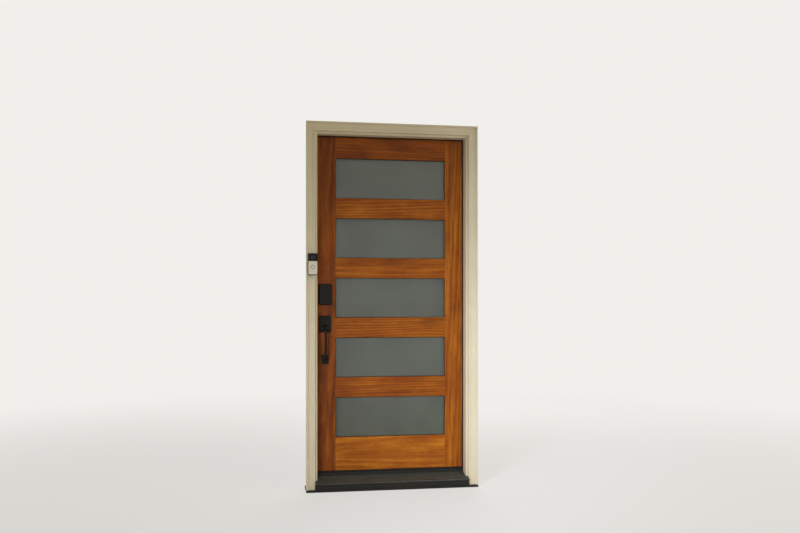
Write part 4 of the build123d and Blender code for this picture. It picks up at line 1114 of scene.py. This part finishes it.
@dataclass
class HandleSet:
    """The handle set outside: bevelled upper plate, thumb piece, and the grip with its foot plate."""

    plate_thickness_mm: float = 9.0
    plate_edge_mm: float = 2.0
    foot_height_mm: float = 57.0
    foot_radius_mm: float = 5.0
    grip_width_mm: float = 15.0
    grip_depth_mm: float = 11.0
    grip_corner_mm: float = 15.0
    grip_swell: float = 0.05
    grip_power: float = 0.5
    arm_gap_mm: float = 2.0
    arm_points: int = 5
    bar_points: int = 24
    corner_points: int = 10
    collar_mm: Pair = (21.0, 17.0)
    collar_radius_mm: float = 5.0
    collar_rise_mm: float = 2.0
    collar_sink_mm: float = 1.0
    collar_edge_mm: float = 1.5
    thumb_drop_mm: float = 11.0
    thumb_width_mm: float = 22.0
    thumb_neck_mm: float = 9.6
    thumb_reach_mm: float = 33.0
    thumb_tail_mm: float = 11.0
    thumb_half_thick_mm: float = 1.9
    thumb_dish_mm: float = 1.1
    thumb_droop_mm: float = 2.2
    thumb_tilt_deg: float = 6.0
    # shares of the way from tail to tip at which the neck widens, the dish sinks, the line drops and
    # the tip rounds off
    widens: Pair = (0.16, 0.34)
    dishes: Pair = (0.35, 0.55)
    drops: Pair = (0.7, 1.0)
    rounds: Pair = (0.78, 1.002)
    # how square the outline is across and up, how blunt the tip is, how much of its width is left at
    # the very end, and what share of the thickness the tip keeps
    thumb_powers: Pair = (0.55, 0.6)
    tip_power: float = 2.4
    tip_least: float = 0.0004
    tip_thick: float = 0.35
    pin_length_mm: float = 30.0
    pin_radius_mm: float = 2.0
    pin_chamfer_mm: float = 0.4

    def grip_path(self, face: float, stand: float, top: float, foot: float) -> Array:
        """The grip's centre line: straight runs joined by quarter circles.

        Args:
            face: Y of the plates' faces.
            stand: Y of the bar.
            top: height of the upper arm.
            foot: height of the lower arm.

        Returns:
            Points by two: Y and Z.
        """
        radius, count, tall = self.grip_corner_mm * MM, self.arm_points, self.bar_points
        run = np.linspace(face + self.arm_gap_mm * MM, stand + radius, count)
        down = np.linspace(top - radius, foot + radius, tall)
        upper = arc((stand + radius, top - radius), radius, 90.0, 180.0, self.corner_points)
        lower = arc((stand + radius, foot + radius), radius, 180.0, 270.0, self.corner_points)
        return np.vstack([np.stack([run, np.full(count, top)], -1)[:-1], upper,
                          np.stack([np.full(tall, stand), down], -1)[1:-1], lower,
                          np.stack([run[::-1], np.full(count, foot)], -1)[1:]])

    def grip(self) -> Any:
        """The grip: a squircle, the fourth-power circle, carried along the path and swelling a little
        towards both ends by the square of the travel, with its eased foot plate and a collar.

        Returns:
            The new object.
        """
        low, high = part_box("handle_grip")
        x = (low.x + high.x) / 2
        depth = self.grip_depth_mm * MM / 2
        face = high.y - self.plate_thickness_mm * MM
        foot = low.z + self.foot_height_mm * MM / 2
        path = self.grip_path(face, low.y + depth, high.z - depth, foot)
        ahead = np.gradient(path, axis=0)
        ahead /= np.linalg.norm(ahead, axis=1, keepdims=True)
        across = np.stack([-ahead[:, 1], ahead[:, 0]], -1)
        angle = round_angles(36)
        square_x = fuller(np.cos(angle), self.grip_power)
        square_y = fuller(np.sin(angle), self.grip_power)
        travel = np.linspace(-1, 1, len(path))[:, None]
        width = self.grip_width_mm * MM / 2 * (1.0 + self.grip_swell * travel ** 2)
        bar = np.stack([x + width * square_x, path[:, :1] + across[:, :1] * depth * square_y,
                        path[:, 1:] + across[:, 1:] * depth * square_y], -1)
        plate = plate_rings(x, foot, high.x - low.x, self.foot_height_mm * MM, self.foot_radius_mm * MM,
                            eased(0.0, high.y, face, self.plate_edge_mm * MM))
        wide, tall = np.array(self.collar_mm) * MM
        collar = plate_rings(x, foot, wide, tall, self.collar_radius_mm * MM,
                             eased(0.0, face + self.collar_sink_mm * MM, face - self.collar_rise_mm * MM,
                                   self.collar_edge_mm * MM))
        return put_rings("grip_bar", [bar, plate, collar])

    def thumb(self) -> Any:
        """The thumb piece, pressed: stations run from its tail to its rounded tip. At each, the outline
        is a flattened ellipse whose upper side is dished by a parabola across the width and whose line
        drops at the tip by the square of the way there; the whole is turned down about its pin.

        Returns:
            The new object.
        """
        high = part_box("handle_upper_plate")[1]
        x, _, middle = middle_of("handle_upper_plate")
        pivot = np.array([x, high.y - self.plate_thickness_mm / 2 * MM, middle - self.thumb_drop_mm * MM])
        share = np.linspace(0, 1, 26)[:, None]
        run = self.thumb_tail_mm - (self.thumb_tail_mm + self.thumb_reach_mm) * share
        spread = ramp(share, *self.widens)
        spread = spread * spread * (3 - 2 * spread)
        tip = np.sqrt(np.clip(1 - ramp(share, *self.rounds) ** self.tip_power, self.tip_least, 1))
        neck = self.thumb_neck_mm / 2
        half = (neck + (self.thumb_width_mm / 2 - neck) * spread) * tip
        angle = round_angles(32)
        c, s = np.cos(angle), np.sin(angle)
        across = half * fuller(c, self.thumb_powers[0])
        thick = self.thumb_half_thick_mm * (self.tip_thick + (1 - self.tip_thick) * np.sqrt(tip))
        dish = self.thumb_dish_mm * ramp(share, *self.dishes) * (1 - (across / half) ** 2) * (s > 0)
        droop = self.thumb_droop_mm * ramp(share, *self.drops) ** 2
        height = thick * fuller(s, self.thumb_powers[1]) - dish - droop
        tilt = math.radians(self.thumb_tilt_deg)
        along = np.repeat(run, len(angle), 1)
        spoon = np.stack([across, along * math.cos(tilt) - height * math.sin(tilt),
                          along * math.sin(tilt) + height * math.cos(tilt)], -1) * MM + pivot
        end, radius, chamfer = self.pin_length_mm / 2, self.pin_radius_mm, self.pin_chamfer_mm
        profile = np.array([(-end, radius - chamfer), (chamfer - end, radius), (end - chamfer, radius),
                            (end, radius - chamfer)]) * MM
        pin = turned_rings(pivot, profile, axis="x", around=24)
        return put_rings("thumb_spoon", [spoon, pin])

    def build(self) -> None:
        """Dresses the upper plate and adds grip and thumb piece."""
        paint_nodes(POWDER_COAT, "handle_upper_plate")
        dress(self.grip(), POWDER_COAT, Body.LEAF, Slot.BLACK, "handle_grip")
        dress(self.thumb(), POWDER_COAT, Body.THUMB, Slot.BLACK, "thumb_piece")


@dataclass
class KeypadLock:
    """The keypad lock outside: a shell with a soft edge and a pad with twelve shallow dimples."""

    corner_mm: float = 10.0
    corner_steps: int = 10
    # inset and height above the door of the shell's rings below its edge
    shell_mm: tuple[Pair, ...] = ((0.0, 0.0), (0.0, 6.0), (1.2, 14.0))
    edge_inset_mm: float = 2.6
    edge_mm: float = 2.2
    rim_mm: float = 5.5
    well_mm: float = 1.6
    pad_corner_mm: float = 4.5
    pad_edge_mm: float = 0.4
    pad_rings: int = 50
    pad_hub_share: float = 0.02
    key_rows_mm: tuple[float, ...] = (36.0, 16.0, -4.0, -24.0)
    key_columns_mm: tuple[float, ...] = (-19.0, 0.0, 19.0)
    dimple_mm: float = 5.5
    dimple_depth_mm: float = 0.5
    around: int = 220

    def shell(self) -> Any:
        """Rounded rectangles that step in towards the face, then down into the pad's well.

        Returns:
            The new object.
        """
        low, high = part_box("keypad_housing")
        x, _, z = middle_of("keypad_housing")
        rim = self.rim_mm * MM
        body = np.array([(inset * MM, high.y - rise * MM) for inset, rise in self.shell_mm])
        edge = eased(self.edge_inset_mm * MM, high.y, low.y, self.edge_mm * MM)[1:]
        stations = np.vstack([body, edge, [rim, low.y], [rim, low.y + self.well_mm * MM]])
        return put_rings("keypad_shell", [plate_rings(x, z, high.x - low.x, high.z - low.z,
                                                      self.corner_mm * MM, stations, self.corner_steps)])

    def pad(self) -> Any:
        """The pad: outlines that shrink to its middle, each point sunk by a flat-topped bell curve of
        its distance to the nearest of twelve keys in four rows of three.

        Returns:
            The new object.
        """
        low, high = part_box("keypad_face")
        x, _, z = middle_of("keypad_face")
        wide, tall, corner = high.x - low.x, high.z - low.z, self.pad_corner_mm * MM
        bevel = self.pad_edge_mm * MM
        edge = evenly(rounded_rectangle(wide, tall, corner, 16), self.around)
        rim = np.array([np.stack([edge[:, 0] + x, np.full(len(edge), y), edge[:, 1] + z], -1)
                        for y in (high.y, low.y + bevel)])
        inner = evenly(rounded_rectangle(wide - 2 * bevel, tall - 2 * bevel, corner, 16), self.around)
        flat = inner[None] * np.linspace(1.0, self.pad_hub_share, self.pad_rings)[:, None, None]
        keys = np.stack(np.meshgrid(self.key_columns_mm, self.key_rows_mm), -1).reshape(-1, 2) * MM
        away = np.linalg.norm(flat[:, :, None] - keys, axis=-1).min(-1)
        sunk = self.dimple_depth_mm * MM * np.exp(-(away / (self.dimple_mm * MM)) ** 6)
        face = np.stack([flat[..., 0] + x, low.y + sunk, flat[..., 1] + z], -1)
        return put_rings("keypad_pad", [np.concatenate([rim, face])])

    def build(self) -> None:
        """Adds shell and pad."""
        dress(self.shell(), POWDER_COAT, Body.LEAF, Slot.BLACK, "keypad_housing")
        dress(self.pad(), BLACK_GLOSS, Body.LEAF, Slot.GLOSS, "keypad_face")


@dataclass
class InsideTrim:
    """The house side of the lock: rose and knob, thumb turn on its housing, and the clamping screws."""

    gap_mm: float = 0.4
    spindle_mm: float = 4.4
    # how far a spindle or a paddle is carried into the piece it belongs to
    overlap_mm: float = 1.0
    rose_radius_mm: float = 33.0
    rose_face_mm: float = 9.0
    rose_edge_mm: float = 2.8
    rose_neck_mm: float = 15.0
    rose_cove_mm: float = 3.0
    rose_bore_mm: float = 5.0
    knob_radius_mm: float = 27.0
    knob_power: float = 2.7
    knob_hub_mm: float = 6.0
    # the head's own rings start here, on a way from -1 at the neck to 1 at the face
    head_start: float = -0.93
    # depth below the face and radius of the hollow's rings
    knob_hollow_mm: tuple[Pair, ...] = ((0.3, 4.0), (0.6, 0.8))
    flange_mm: float = 1.5
    flange_play_mm: float = 0.2
    neck_radius_mm: float = 10.5
    neck_length_mm: float = 15.0
    neck_cove_mm: Pair = (4.0, 4.2)
    neck_cove_power: float = 1.5
    housing_corner_mm: float = 10.0
    housing_base_mm: float = 4.0
    housing_edge_mm: float = 2.4
    housing_taper_mm: float = 2.0
    corner_steps: int = 10
    turn_base_mm: float = 15.0
    turn_edge_mm: float = 1.5
    turn_hub_mm: float = 2.0
    paddle_mm: Triple = (38.0, 9.0, 17.0)
    paddle_taper_mm: Pair = (0.8, 1.4)
    paddle_edge_mm: float = 1.8
    rose_screw_mm: Pair = (15.0, 16.0)
    rose_screw_length_mm: float = 58.0
    housing_screw_mm: float = 19.5
    housing_screw_length_mm: float = 81.5
    foot_rise_mm: float = 28.5
    nut_radius_mm: float = 9.0
    nut_height_mm: float = 3.0
    nut_edge_mm: float = 1.0
    # place above the leaf and radius of the rings of the nut's driving hollow
    nut_hollow_mm: tuple[Pair, ...] = ((3.0, 4.8), (2.4, 4.2), (2.4, 0.6))
    nut_bolt_mm: float = 2.4
    nut_bolt_inset_mm: float = 4.5

    def rose(self) -> Any:
        """A turned disc whose edge is a quarter circle, with a cove up to its neck.

        Returns:
            The new object.
        """
        low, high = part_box("knob_rose")
        x, _, z = middle_of("knob_rose")
        outer, face, cove = self.rose_radius_mm * MM, low.y + self.rose_face_mm * MM, self.rose_cove_mm * MM
        neck = self.rose_neck_mm * MM
        profile = np.vstack([[low.y, outer], rim_profile(face, outer, self.rose_edge_mm * MM, 8),
                             arc((face + cove, neck + cove), cove, 180.0, 270.0, 8), [high.y, neck],
                             [high.y, self.rose_bore_mm * MM]])
        return put_rings("inside_rose", [turned_rings((x, 0, z), profile, around=96)])

    def spindle(self, x: float, z: float, tail: float, start: float) -> Array:
        """The round bar from a turned fitting back into the lock.

        Args:
            x: its axis, across.
            z: its axis, up.
            tail: Y of its end in the lock.
            start: Y of the fitting's back.

        Returns:
            Stations by points by three.
        """
        profile = [(tail, self.spindle_mm * MM), (start + self.overlap_mm * MM, self.spindle_mm * MM)]
        return turned_rings((x, 0, z), profile, around=24)

    def knob(self) -> Any:
        """A turned knob: flange, cove and neck, then a head whose radius follows a superellipse of the
        place along it, with a shallow hollow in its face.

        Returns:
            The new object.
        """
        low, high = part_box("knob")
        x, _, z = middle_of("knob")
        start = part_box("knob_rose")[1].y + self.gap_mm * MM
        neck_end, neck = start + self.neck_length_mm * MM, self.neck_radius_mm * MM
        along, out = np.array(self.neck_cove_mm) * MM
        rise = np.sin(np.linspace(0, math.pi / 2, 6))
        cove = np.stack([start + self.flange_mm * MM + along * rise,
                         neck + out * (1 - rise) ** self.neck_cove_power], -1)
        way = np.sin(np.linspace(-1, 1, 30) * math.pi / 2)
        half, power = (high.y - neck_end) / 2, self.knob_power
        belly = self.knob_radius_mm * MM * np.clip(1 - np.abs(way) ** power, 0, 1) ** (1 / power)
        place = neck_end + half * (1 + way)
        # the first rings lie inside the neck and the last ones in the hollow, so they are left out
        kept = ((way > self.head_start) | (belly > neck)) & (belly > self.knob_hub_mm * MM)
        radius = np.where(place < neck_end + half, np.maximum(belly, neck), belly)
        head = np.stack([place, radius], -1)[kept]
        hollow = np.array([(high.y - deep * MM, wide * MM) for deep, wide in self.knob_hollow_mm])
        profile = np.vstack([[start, (self.rose_neck_mm - self.flange_play_mm) * MM], cove,
                             [neck_end - self.overlap_mm * MM, neck], head, hollow])
        return put_rings("inside_knob", [turned_rings((x, 0, z), profile),
                                         self.spindle(x, z, low.y, start)])

    def housing(self) -> Any:
        """The thumb turn's housing: rounded rectangles that taper to an eased face.

        Returns:
            The new object.
        """
        low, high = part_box("thumbturn_housing")
        x, _, z = middle_of("thumbturn_housing")
        edge = eased(self.housing_taper_mm * MM, low.y, high.y, self.housing_edge_mm * MM)[1:]
        stations = np.vstack([[0.0, low.y], [0.0, low.y + self.housing_base_mm * MM], edge])
        return put_rings("turn_housing", [plate_rings(x, z, high.x - low.x, high.z - low.z,
                                                      self.housing_corner_mm * MM, stations,
                                                      self.corner_steps)])

    def turn(self) -> Any:
        """The thumb turn: a turned base with an eased edge, a tapered round-ended paddle and a tail.

        Returns:
            The new object.
        """
        low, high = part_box("thumbturn")
        x, _, z = middle_of("thumbturn")
        length, width, depth = np.array(self.paddle_mm) * MM
        first, last = np.array(self.paddle_taper_mm) * MM
        step, base = high.y - depth, self.turn_base_mm * MM
        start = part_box("thumbturn_housing")[1].y + self.gap_mm * MM
        profile = np.vstack([[start, base], rim_profile(step, base, self.turn_edge_mm * MM, 6),
                             [step, self.turn_hub_mm * MM]])
        disc = turned_rings((x, 0, z), profile, around=72)
        stations = np.vstack([[0.0, step - self.overlap_mm * MM], [first, step + depth / 2],
                              eased(last, step, high.y, self.paddle_edge_mm * MM)[1:]])
        paddle = plate_rings(x, z, length, width, width / 2, stations, 12)
        return put_rings("turn_paddle", [disc, paddle, self.spindle(x, z, low.y, start)])

    def clamp(self, length_mm: float) -> Screw:
        """A clamping screw with a raised head, of the given length."""
        return Screw(radius_mm=4.2, dome_mm=0.9, rim_mm=0.25, recess_mm=0.85, cone_mm=2.5, shank_mm=2.4,
                     length_mm=length_mm)

    def nut(self, x: float, back: float) -> list[Array]:
        """The round nut behind the grip's foot, with its bolt.

        Args:
            x: the lock's middle, across.
            back: Y of the leaf's house side.

        Returns:
            Two ring stacks, each stations by points by three.
        """
        low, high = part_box("handle_grip")
        centre = (x, 0, low.z + self.foot_rise_mm * MM)
        radius, bolt = self.nut_radius_mm * MM, self.nut_bolt_mm * MM
        edge = rim_profile(back + self.nut_height_mm * MM, radius, self.nut_edge_mm * MM, 5)
        hollow = np.array([(back + rise * MM, wide * MM) for rise, wide in self.nut_hollow_mm])
        front = high.y - self.nut_bolt_inset_mm * MM
        return [turned_rings(centre, np.vstack([[back, radius], edge, hollow])),
                turned_rings(centre, [(front, bolt), (back, bolt)], around=24)]

    def screws(self) -> Any:
        """Two raised heads in the rose, two in the housing, and the round nut behind the grip's foot.

        Returns:
            The new object.
        """
        x, _, latch = middle_of("knob")
        turn = middle_of("thumbturn")[2]
        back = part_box("knob_rose")[0].y
        rose, case = self.clamp(self.rose_screw_length_mm), self.clamp(self.housing_screw_length_mm)
        side, rise = np.array(self.rose_screw_mm) * MM
        face, top = back + self.rose_face_mm * MM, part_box("thumbturn_housing")[1].y
        groups = [rose.rings((x + dx, face, latch + rise), INWARDS) for dx in (-side, side)]
        groups += [case.rings((x, top, turn + dz), INWARDS)
                   for dz in np.array([-1, 1]) * self.housing_screw_mm * MM]
        return put_rings("clamp_screws", groups + self.nut(x, back))

    def build(self) -> None:
        """Adds every piece of the house side and dresses cases and bolts."""
        paint_nodes(ZINC_STEEL, "latch_case", "deadbolt_case", "latch_bolt", "deadbolt_bolt")
        dress(self.rose(), POWDER_COAT, Body.LEAF, Slot.BLACK, "knob_rose")
        dress(self.knob(), POWDER_COAT, Body.KNOB, Slot.BLACK, "knob")
        dress(self.housing(), POWDER_COAT, Body.LEAF, Slot.BLACK, "thumbturn_housing")
        dress(self.turn(), POWDER_COAT, Body.TURN, Slot.BLACK, "thumbturn")
        dress(self.screws(), POWDER_COAT, Body.LEAF, Slot.BLACK, "lock_screws")


@dataclass
class BellPush:
    """The bell push on the casing: housing, dark window with its lens, pale face and ringed button.

    The profiles are pairs in millimetres: place inwards from the face or tip, then radius from the rim.
    """

    corner_mm: float = 9.0
    corner_steps: int = 10
    rim_mm: float = 2.6
    well_play_mm: float = 0.4
    well_mm: float = 1.8
    window_corner_mm: float = 5.8
    # inset and place inwards from the housing's face
    window_mm: tuple[Pair, ...] = ((0.0, 2.0), (0.0, 0.4), (0.4, 0.1))
    lens_mm: float = 9.2
    lens_inset_mm: float = 2.6
    lens_root_mm: float = 1.0
    lens_stand_mm: float = 0.4
    lens_rise_mm: float = 1.6
    lens_deg: float = 87.3
    bezel_mm: tuple[Pair, ...] = ((1.0, 0.0), (-0.8, 0.0), (-1.3, -0.4), (-1.3, -1.6), (-0.6, -2.4),
                                  (1.0, -2.4))
    stem_radius_mm: float = 6.9
    stem_mm: float = 2.2
    shoulder_mm: float = 1.9
    cap_mm: tuple[Pair, ...] = ((0.6, 0.0), (0.2, -0.3), (0.0, -0.8), (0.8, -0.8), (0.8, -3.2),
                                (0.1, -3.2), (0.4, -5.0), (0.7, -8.0))
    cap_hub_mm: Pair = (0.8, 0.6)
    ring_inset_mm: float = 2.0
    ring_half_mm: float = 1.15
    ring_rise_mm: Pair = (0.5, 0.4)
    ring_base_mm: float = 0.85

    def housing(self) -> Any:
        """A rounded box with an eased rim round a shallow well.

        Returns:
            The new object.
        """
        low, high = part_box("doorbell_housing")
        x, _, z = middle_of("doorbell_housing")
        rim, wall = self.rim_mm * MM, (self.rim_mm + self.well_play_mm) * MM
        stations = np.vstack([eased(0.0, high.y, low.y, rim), [wall, low.y],
                              [wall, low.y + self.well_mm * MM]])
        return put_rings("bell_housing", [plate_rings(x, z, high.x - low.x, high.z - low.z,
                                                      self.corner_mm * MM, stations, self.corner_steps)])

    def window(self) -> Any:
        """The dark window, with a turned lens: a dome that follows a quarter sine.

        Returns:
            The new object.
        """
        low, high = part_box("doorbell_lens")
        x, _, z = middle_of("doorbell_lens")
        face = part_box("doorbell_housing")[0].y
        pane = plate_rings(x, z, high.x - low.x, high.z - low.z, self.window_corner_mm * MM,
                           np.array(self.window_mm) * MM + (0.0, face), self.corner_steps)
        dome = (self.lens_mm - self.lens_inset_mm) * MM
        angle = np.radians(np.linspace(0.0, self.lens_deg, 10))
        rise = (self.lens_stand_mm + self.lens_rise_mm * np.sin(angle)) * MM
        profile = np.vstack([[face + self.lens_root_mm * MM, dome],
                             np.stack([face - rise, dome * np.cos(angle)], -1)])
        return put_rings("bell_window", [pane, turned_rings((x, 0, z), profile, around=48)])

    def bezel(self) -> Any:
        """The ring round the lens: a turned section with an eased lip, closed on itself.

        Returns:
            The new object.
        """
        x, _, z = middle_of("doorbell_lens")
        section = np.array(self.bezel_mm) * MM + (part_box("doorbell_housing")[0].y, self.lens_mm * MM)
        return put_rings("bell_lens_bezel", [turned_rings((x, 0, z), section, around=48)], closed=True)

    def button(self) -> Any:
        """The button: a turned cap with an eased rim, a groove inside it and a shallow dished middle.

        Returns:
            The new object.
        """
        low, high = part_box("doorbell_button")
        x, _, z = middle_of("doorbell_button")
        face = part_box("doorbell_housing")[0].y
        radius, stem = (high.x - low.x) / 2, self.stem_radius_mm * MM
        cap = np.array(self.cap_mm) * MM + (low.y, radius)
        hub = np.array(self.cap_hub_mm) * MM + (low.y, 0.0)
        profile = np.vstack([[high.y, stem], [face + self.stem_mm * MM, stem],
                             [face + self.shoulder_mm * MM, radius], cap, hub])
        return put_rings("bell_button_cap", [turned_rings((x, 0, z), profile)])

    def ring(self) -> Any:
        """The button's smoked ring: a half ellipse on a flat base, turned in the groove of the cap.

        Returns:
            The new object.
        """
        low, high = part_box("doorbell_button")
        x, _, z = middle_of("doorbell_button")
        middle, half = (high.x - low.x) / 2 - self.ring_inset_mm * MM, self.ring_half_mm * MM
        seat, rise = np.array(self.ring_rise_mm) * MM
        base = low.y + self.ring_base_mm * MM
        angle = np.linspace(0, math.pi, 9)
        bead = np.stack([low.y + seat - rise * np.sin(angle), middle + half * np.cos(angle)], -1)
        section = np.vstack([bead, [base, middle - half], [base, middle + half]])
        return put_rings("bell_ring", [turned_rings((x, 0, z), section)], closed=True)

    def build(self) -> None:
        """Adds housing, window and button, and dresses the pale face."""
        dress(self.housing(), BLACK_POLYCARBONATE, Body.FRAME, Slot.PLASTIC, "doorbell_housing")
        dress(self.window(), BLACK_GLOSS, Body.FRAME, Slot.GLOSS, "doorbell_lens")
        dress(self.bezel(), GREY_ABS, Body.FRAME, Slot.PLASTIC)
        dress(self.button(), PALE_ABS, Body.BELL, Slot.PLASTIC, "doorbell_button")
        dress(self.ring(), SMOKED_RING, Body.BELL, Slot.PLASTIC)
        paint_nodes(PALE_ABS, "doorbell_faceplate")


@dataclass(frozen=True)
class Softbox:
    """A square soft lamp: where it hangs, what it faces, its side in metres and its power."""

    name: str
    place: Triple
    target: Triple
    side: float
    watts: float
    colour: str = "#FFFFFF"
    # angle over which its grid lets the light out
    spread_deg: float = 180.0

    def build(self) -> None:
        """Hangs the lamp."""
        data = bpy.data.lights.new(self.name, "AREA")
        data.spread = math.radians(self.spread_deg)
        data.size = self.side
        data.energy = self.watts
        data.color = linear(self.colour)[:3]
        lamp = bpy.data.objects.new(self.name, data)
        lamp.location = self.place
        lamp.rotation_euler = (Vector(self.target) - Vector(self.place)).to_track_quat("-Z", "Y").to_euler()
        bpy.context.scene.collection.objects.link(lamp)


@dataclass
class Studio:
    """Floor, surround, lamps and the camera at the photograph's viewing angle."""

    camera_place: Triple = (-0.8075, -5.0593, 1.105)
    camera_turn_deg: float = 9.56
    lens_mm: float = 38.7
    sensor_mm: float = 36.0
    shift_up: float = 0.0454
    floor_radii: tuple[float, ...] = (0.05, 1.0, 2.0, 3.0, 4.5, 6.0, 9.0)
    floor_around: int = 64
    floor_drop_mm: float = 0.5
    floor_fade: Pair = (1.8, 6.0)
    floor_colour: str = "#EDEDEC"
    floor_lift: float = 0.62
    world_level: float = 0.39
    world_colour: str = "#FFF0D8"
    background: str = "#F1EFEB"
    lamps: tuple[Softbox, ...] = (
        Softbox("key_softbox", (-1.7, -3.5, 1.4), (0.8, 0.0, 0.42), 1.0, 10.8, "#F2F6FF", 46.0),
        Softbox("fill_softbox", (3.6, -4.2, 2.2), (0.0, 0.0, 1.0), 2.6, 45.0, "#FFF2DC"),
        Softbox("rear_softbox", (1.5, 4.5, 3.0), (0.0, 0.0, 1.1), 3.0, 110.0))

    def camera(self) -> None:
        """A level camera turned a little to the right."""
        data = bpy.data.cameras.new("photo_camera")
        data.sensor_width = self.sensor_mm
        data.lens = self.lens_mm
        data.shift_y = self.shift_up
        camera = bpy.data.objects.new("photo_camera", data)
        camera.location = self.camera_place
        camera.rotation_euler = (math.pi / 2, 0.0, -math.radians(self.camera_turn_deg))
        bpy.context.scene.collection.objects.link(camera)
        bpy.context.scene.camera = camera

    def world(self) -> None:
        """A pale surround: full brightness to the camera and in reflections, a warm lower level as light."""
        world = bpy.data.worlds.new("pale_surround")
        world.use_nodes = True
        tree = world.node_tree
        tree.nodes.clear()
        seen = 0.0
        for ray in ("Is Camera Ray", "Is Glossy Ray", "Is Transmission Ray"):
            seen = add_node(tree, "Math", {0: add_node(tree, "LightPath", take=ray), 1: seen},
                            operation="MAXIMUM")
        level = add_node(tree, "MapRange", {"Value": seen, "To Min": self.world_level, "To Max": 1.0})
        colour = add_node(tree, "Mix", {0: seen, 6: linear(self.world_colour), 7: linear(self.background)},
                          data_type="RGBA")
        shown = add_node(tree, "Background", {"Color": colour, "Strength": level})
        add_node(tree, "OutputWorld", {"Surface": shown})
        bpy.context.scene.world = world

    def floor_paint(self) -> Any:
        """Matt paint that fades into the background with distance.

        To the camera it is part paint, which takes the shadow, and part plain colour, which keeps it
        pale.

        Returns:
            The material.
        """
        material = bpy.data.materials.new("matt_pale_floor_paint")
        material.use_nodes = True
        tree = material.node_tree
        tree.nodes.clear()
        paint = add_node(tree, "BsdfPrincipled", {"Base Color": linear(self.floor_colour),
                                                  "Roughness": 0.9, "Specular IOR Level": 0.1})
        plain = add_node(tree, "Emission", {"Color": linear(self.floor_colour), "Strength": 1.0})
        lift = add_node(tree, "Math", {0: add_node(tree, "LightPath", take="Is Camera Ray"),
                                       1: self.floor_lift}, operation="MULTIPLY")
        lit = add_node(tree, "MixShader", {0: lift, 1: paint, 2: plain})
        place = add_node(tree, "TexCoord", take="Object")
        away = add_node(tree, "VectorMath", {0: place}, take="Value", operation="LENGTH")
        near, far = self.floor_fade
        fade = add_node(tree, "MapRange", {"Value": away, "From Min": near, "From Max": far},
                        interpolation_type="SMOOTHSTEP")
        clear = add_node(tree, "BsdfTransparent")
        add_node(tree, "OutputMaterial",
                 {"Surface": add_node(tree, "MixShader", {0: fade, 1: lit, 2: clear})})
        return material

    def floor(self) -> None:
        """A pale round floor: radius times cosine and sine of the angle, just under the sill."""
        radii, angle = np.array(self.floor_radii)[:, None], round_angles(self.floor_around)
        rings = np.stack([radii * np.cos(angle), radii * np.sin(angle),
                          np.full((len(radii), len(angle)), -self.floor_drop_mm * MM)], -1)
        number = np.arange(len(radii) * len(angle)).reshape(len(radii), len(angle))
        low, high = number[:-1], number[1:]
        quads = np.stack([low, high, np.roll(high, -1, 1), np.roll(low, -1, 1)], -1).reshape(-1, 4)
        piece = put_mesh("studio_floor", rings, quads.tolist() + [number[0].tolist()])
        piece.data.materials.append(self.floor_paint())

    def build(self) -> None:
        """Sets the view, the surround and the lamps."""
        bpy.context.scene.view_settings.view_transform = "Standard"
        self.camera()
        self.world()
        self.floor()
        for lamp in self.lamps:
            lamp.build()


def main() -> None:
    """Builds every sub-assembly in order and logs each one."""
    for assembly in (Leaf(), FrameAndSill(), Casing(), HingesAndStrikes(), HandleSet(), KeypadLock(),
                     InsideTrim(), BellPush(), Studio()):
        assembly.build()
        LOG.info("%s is built", type(assembly).__name__)


if __name__ == "__main__":
    main()
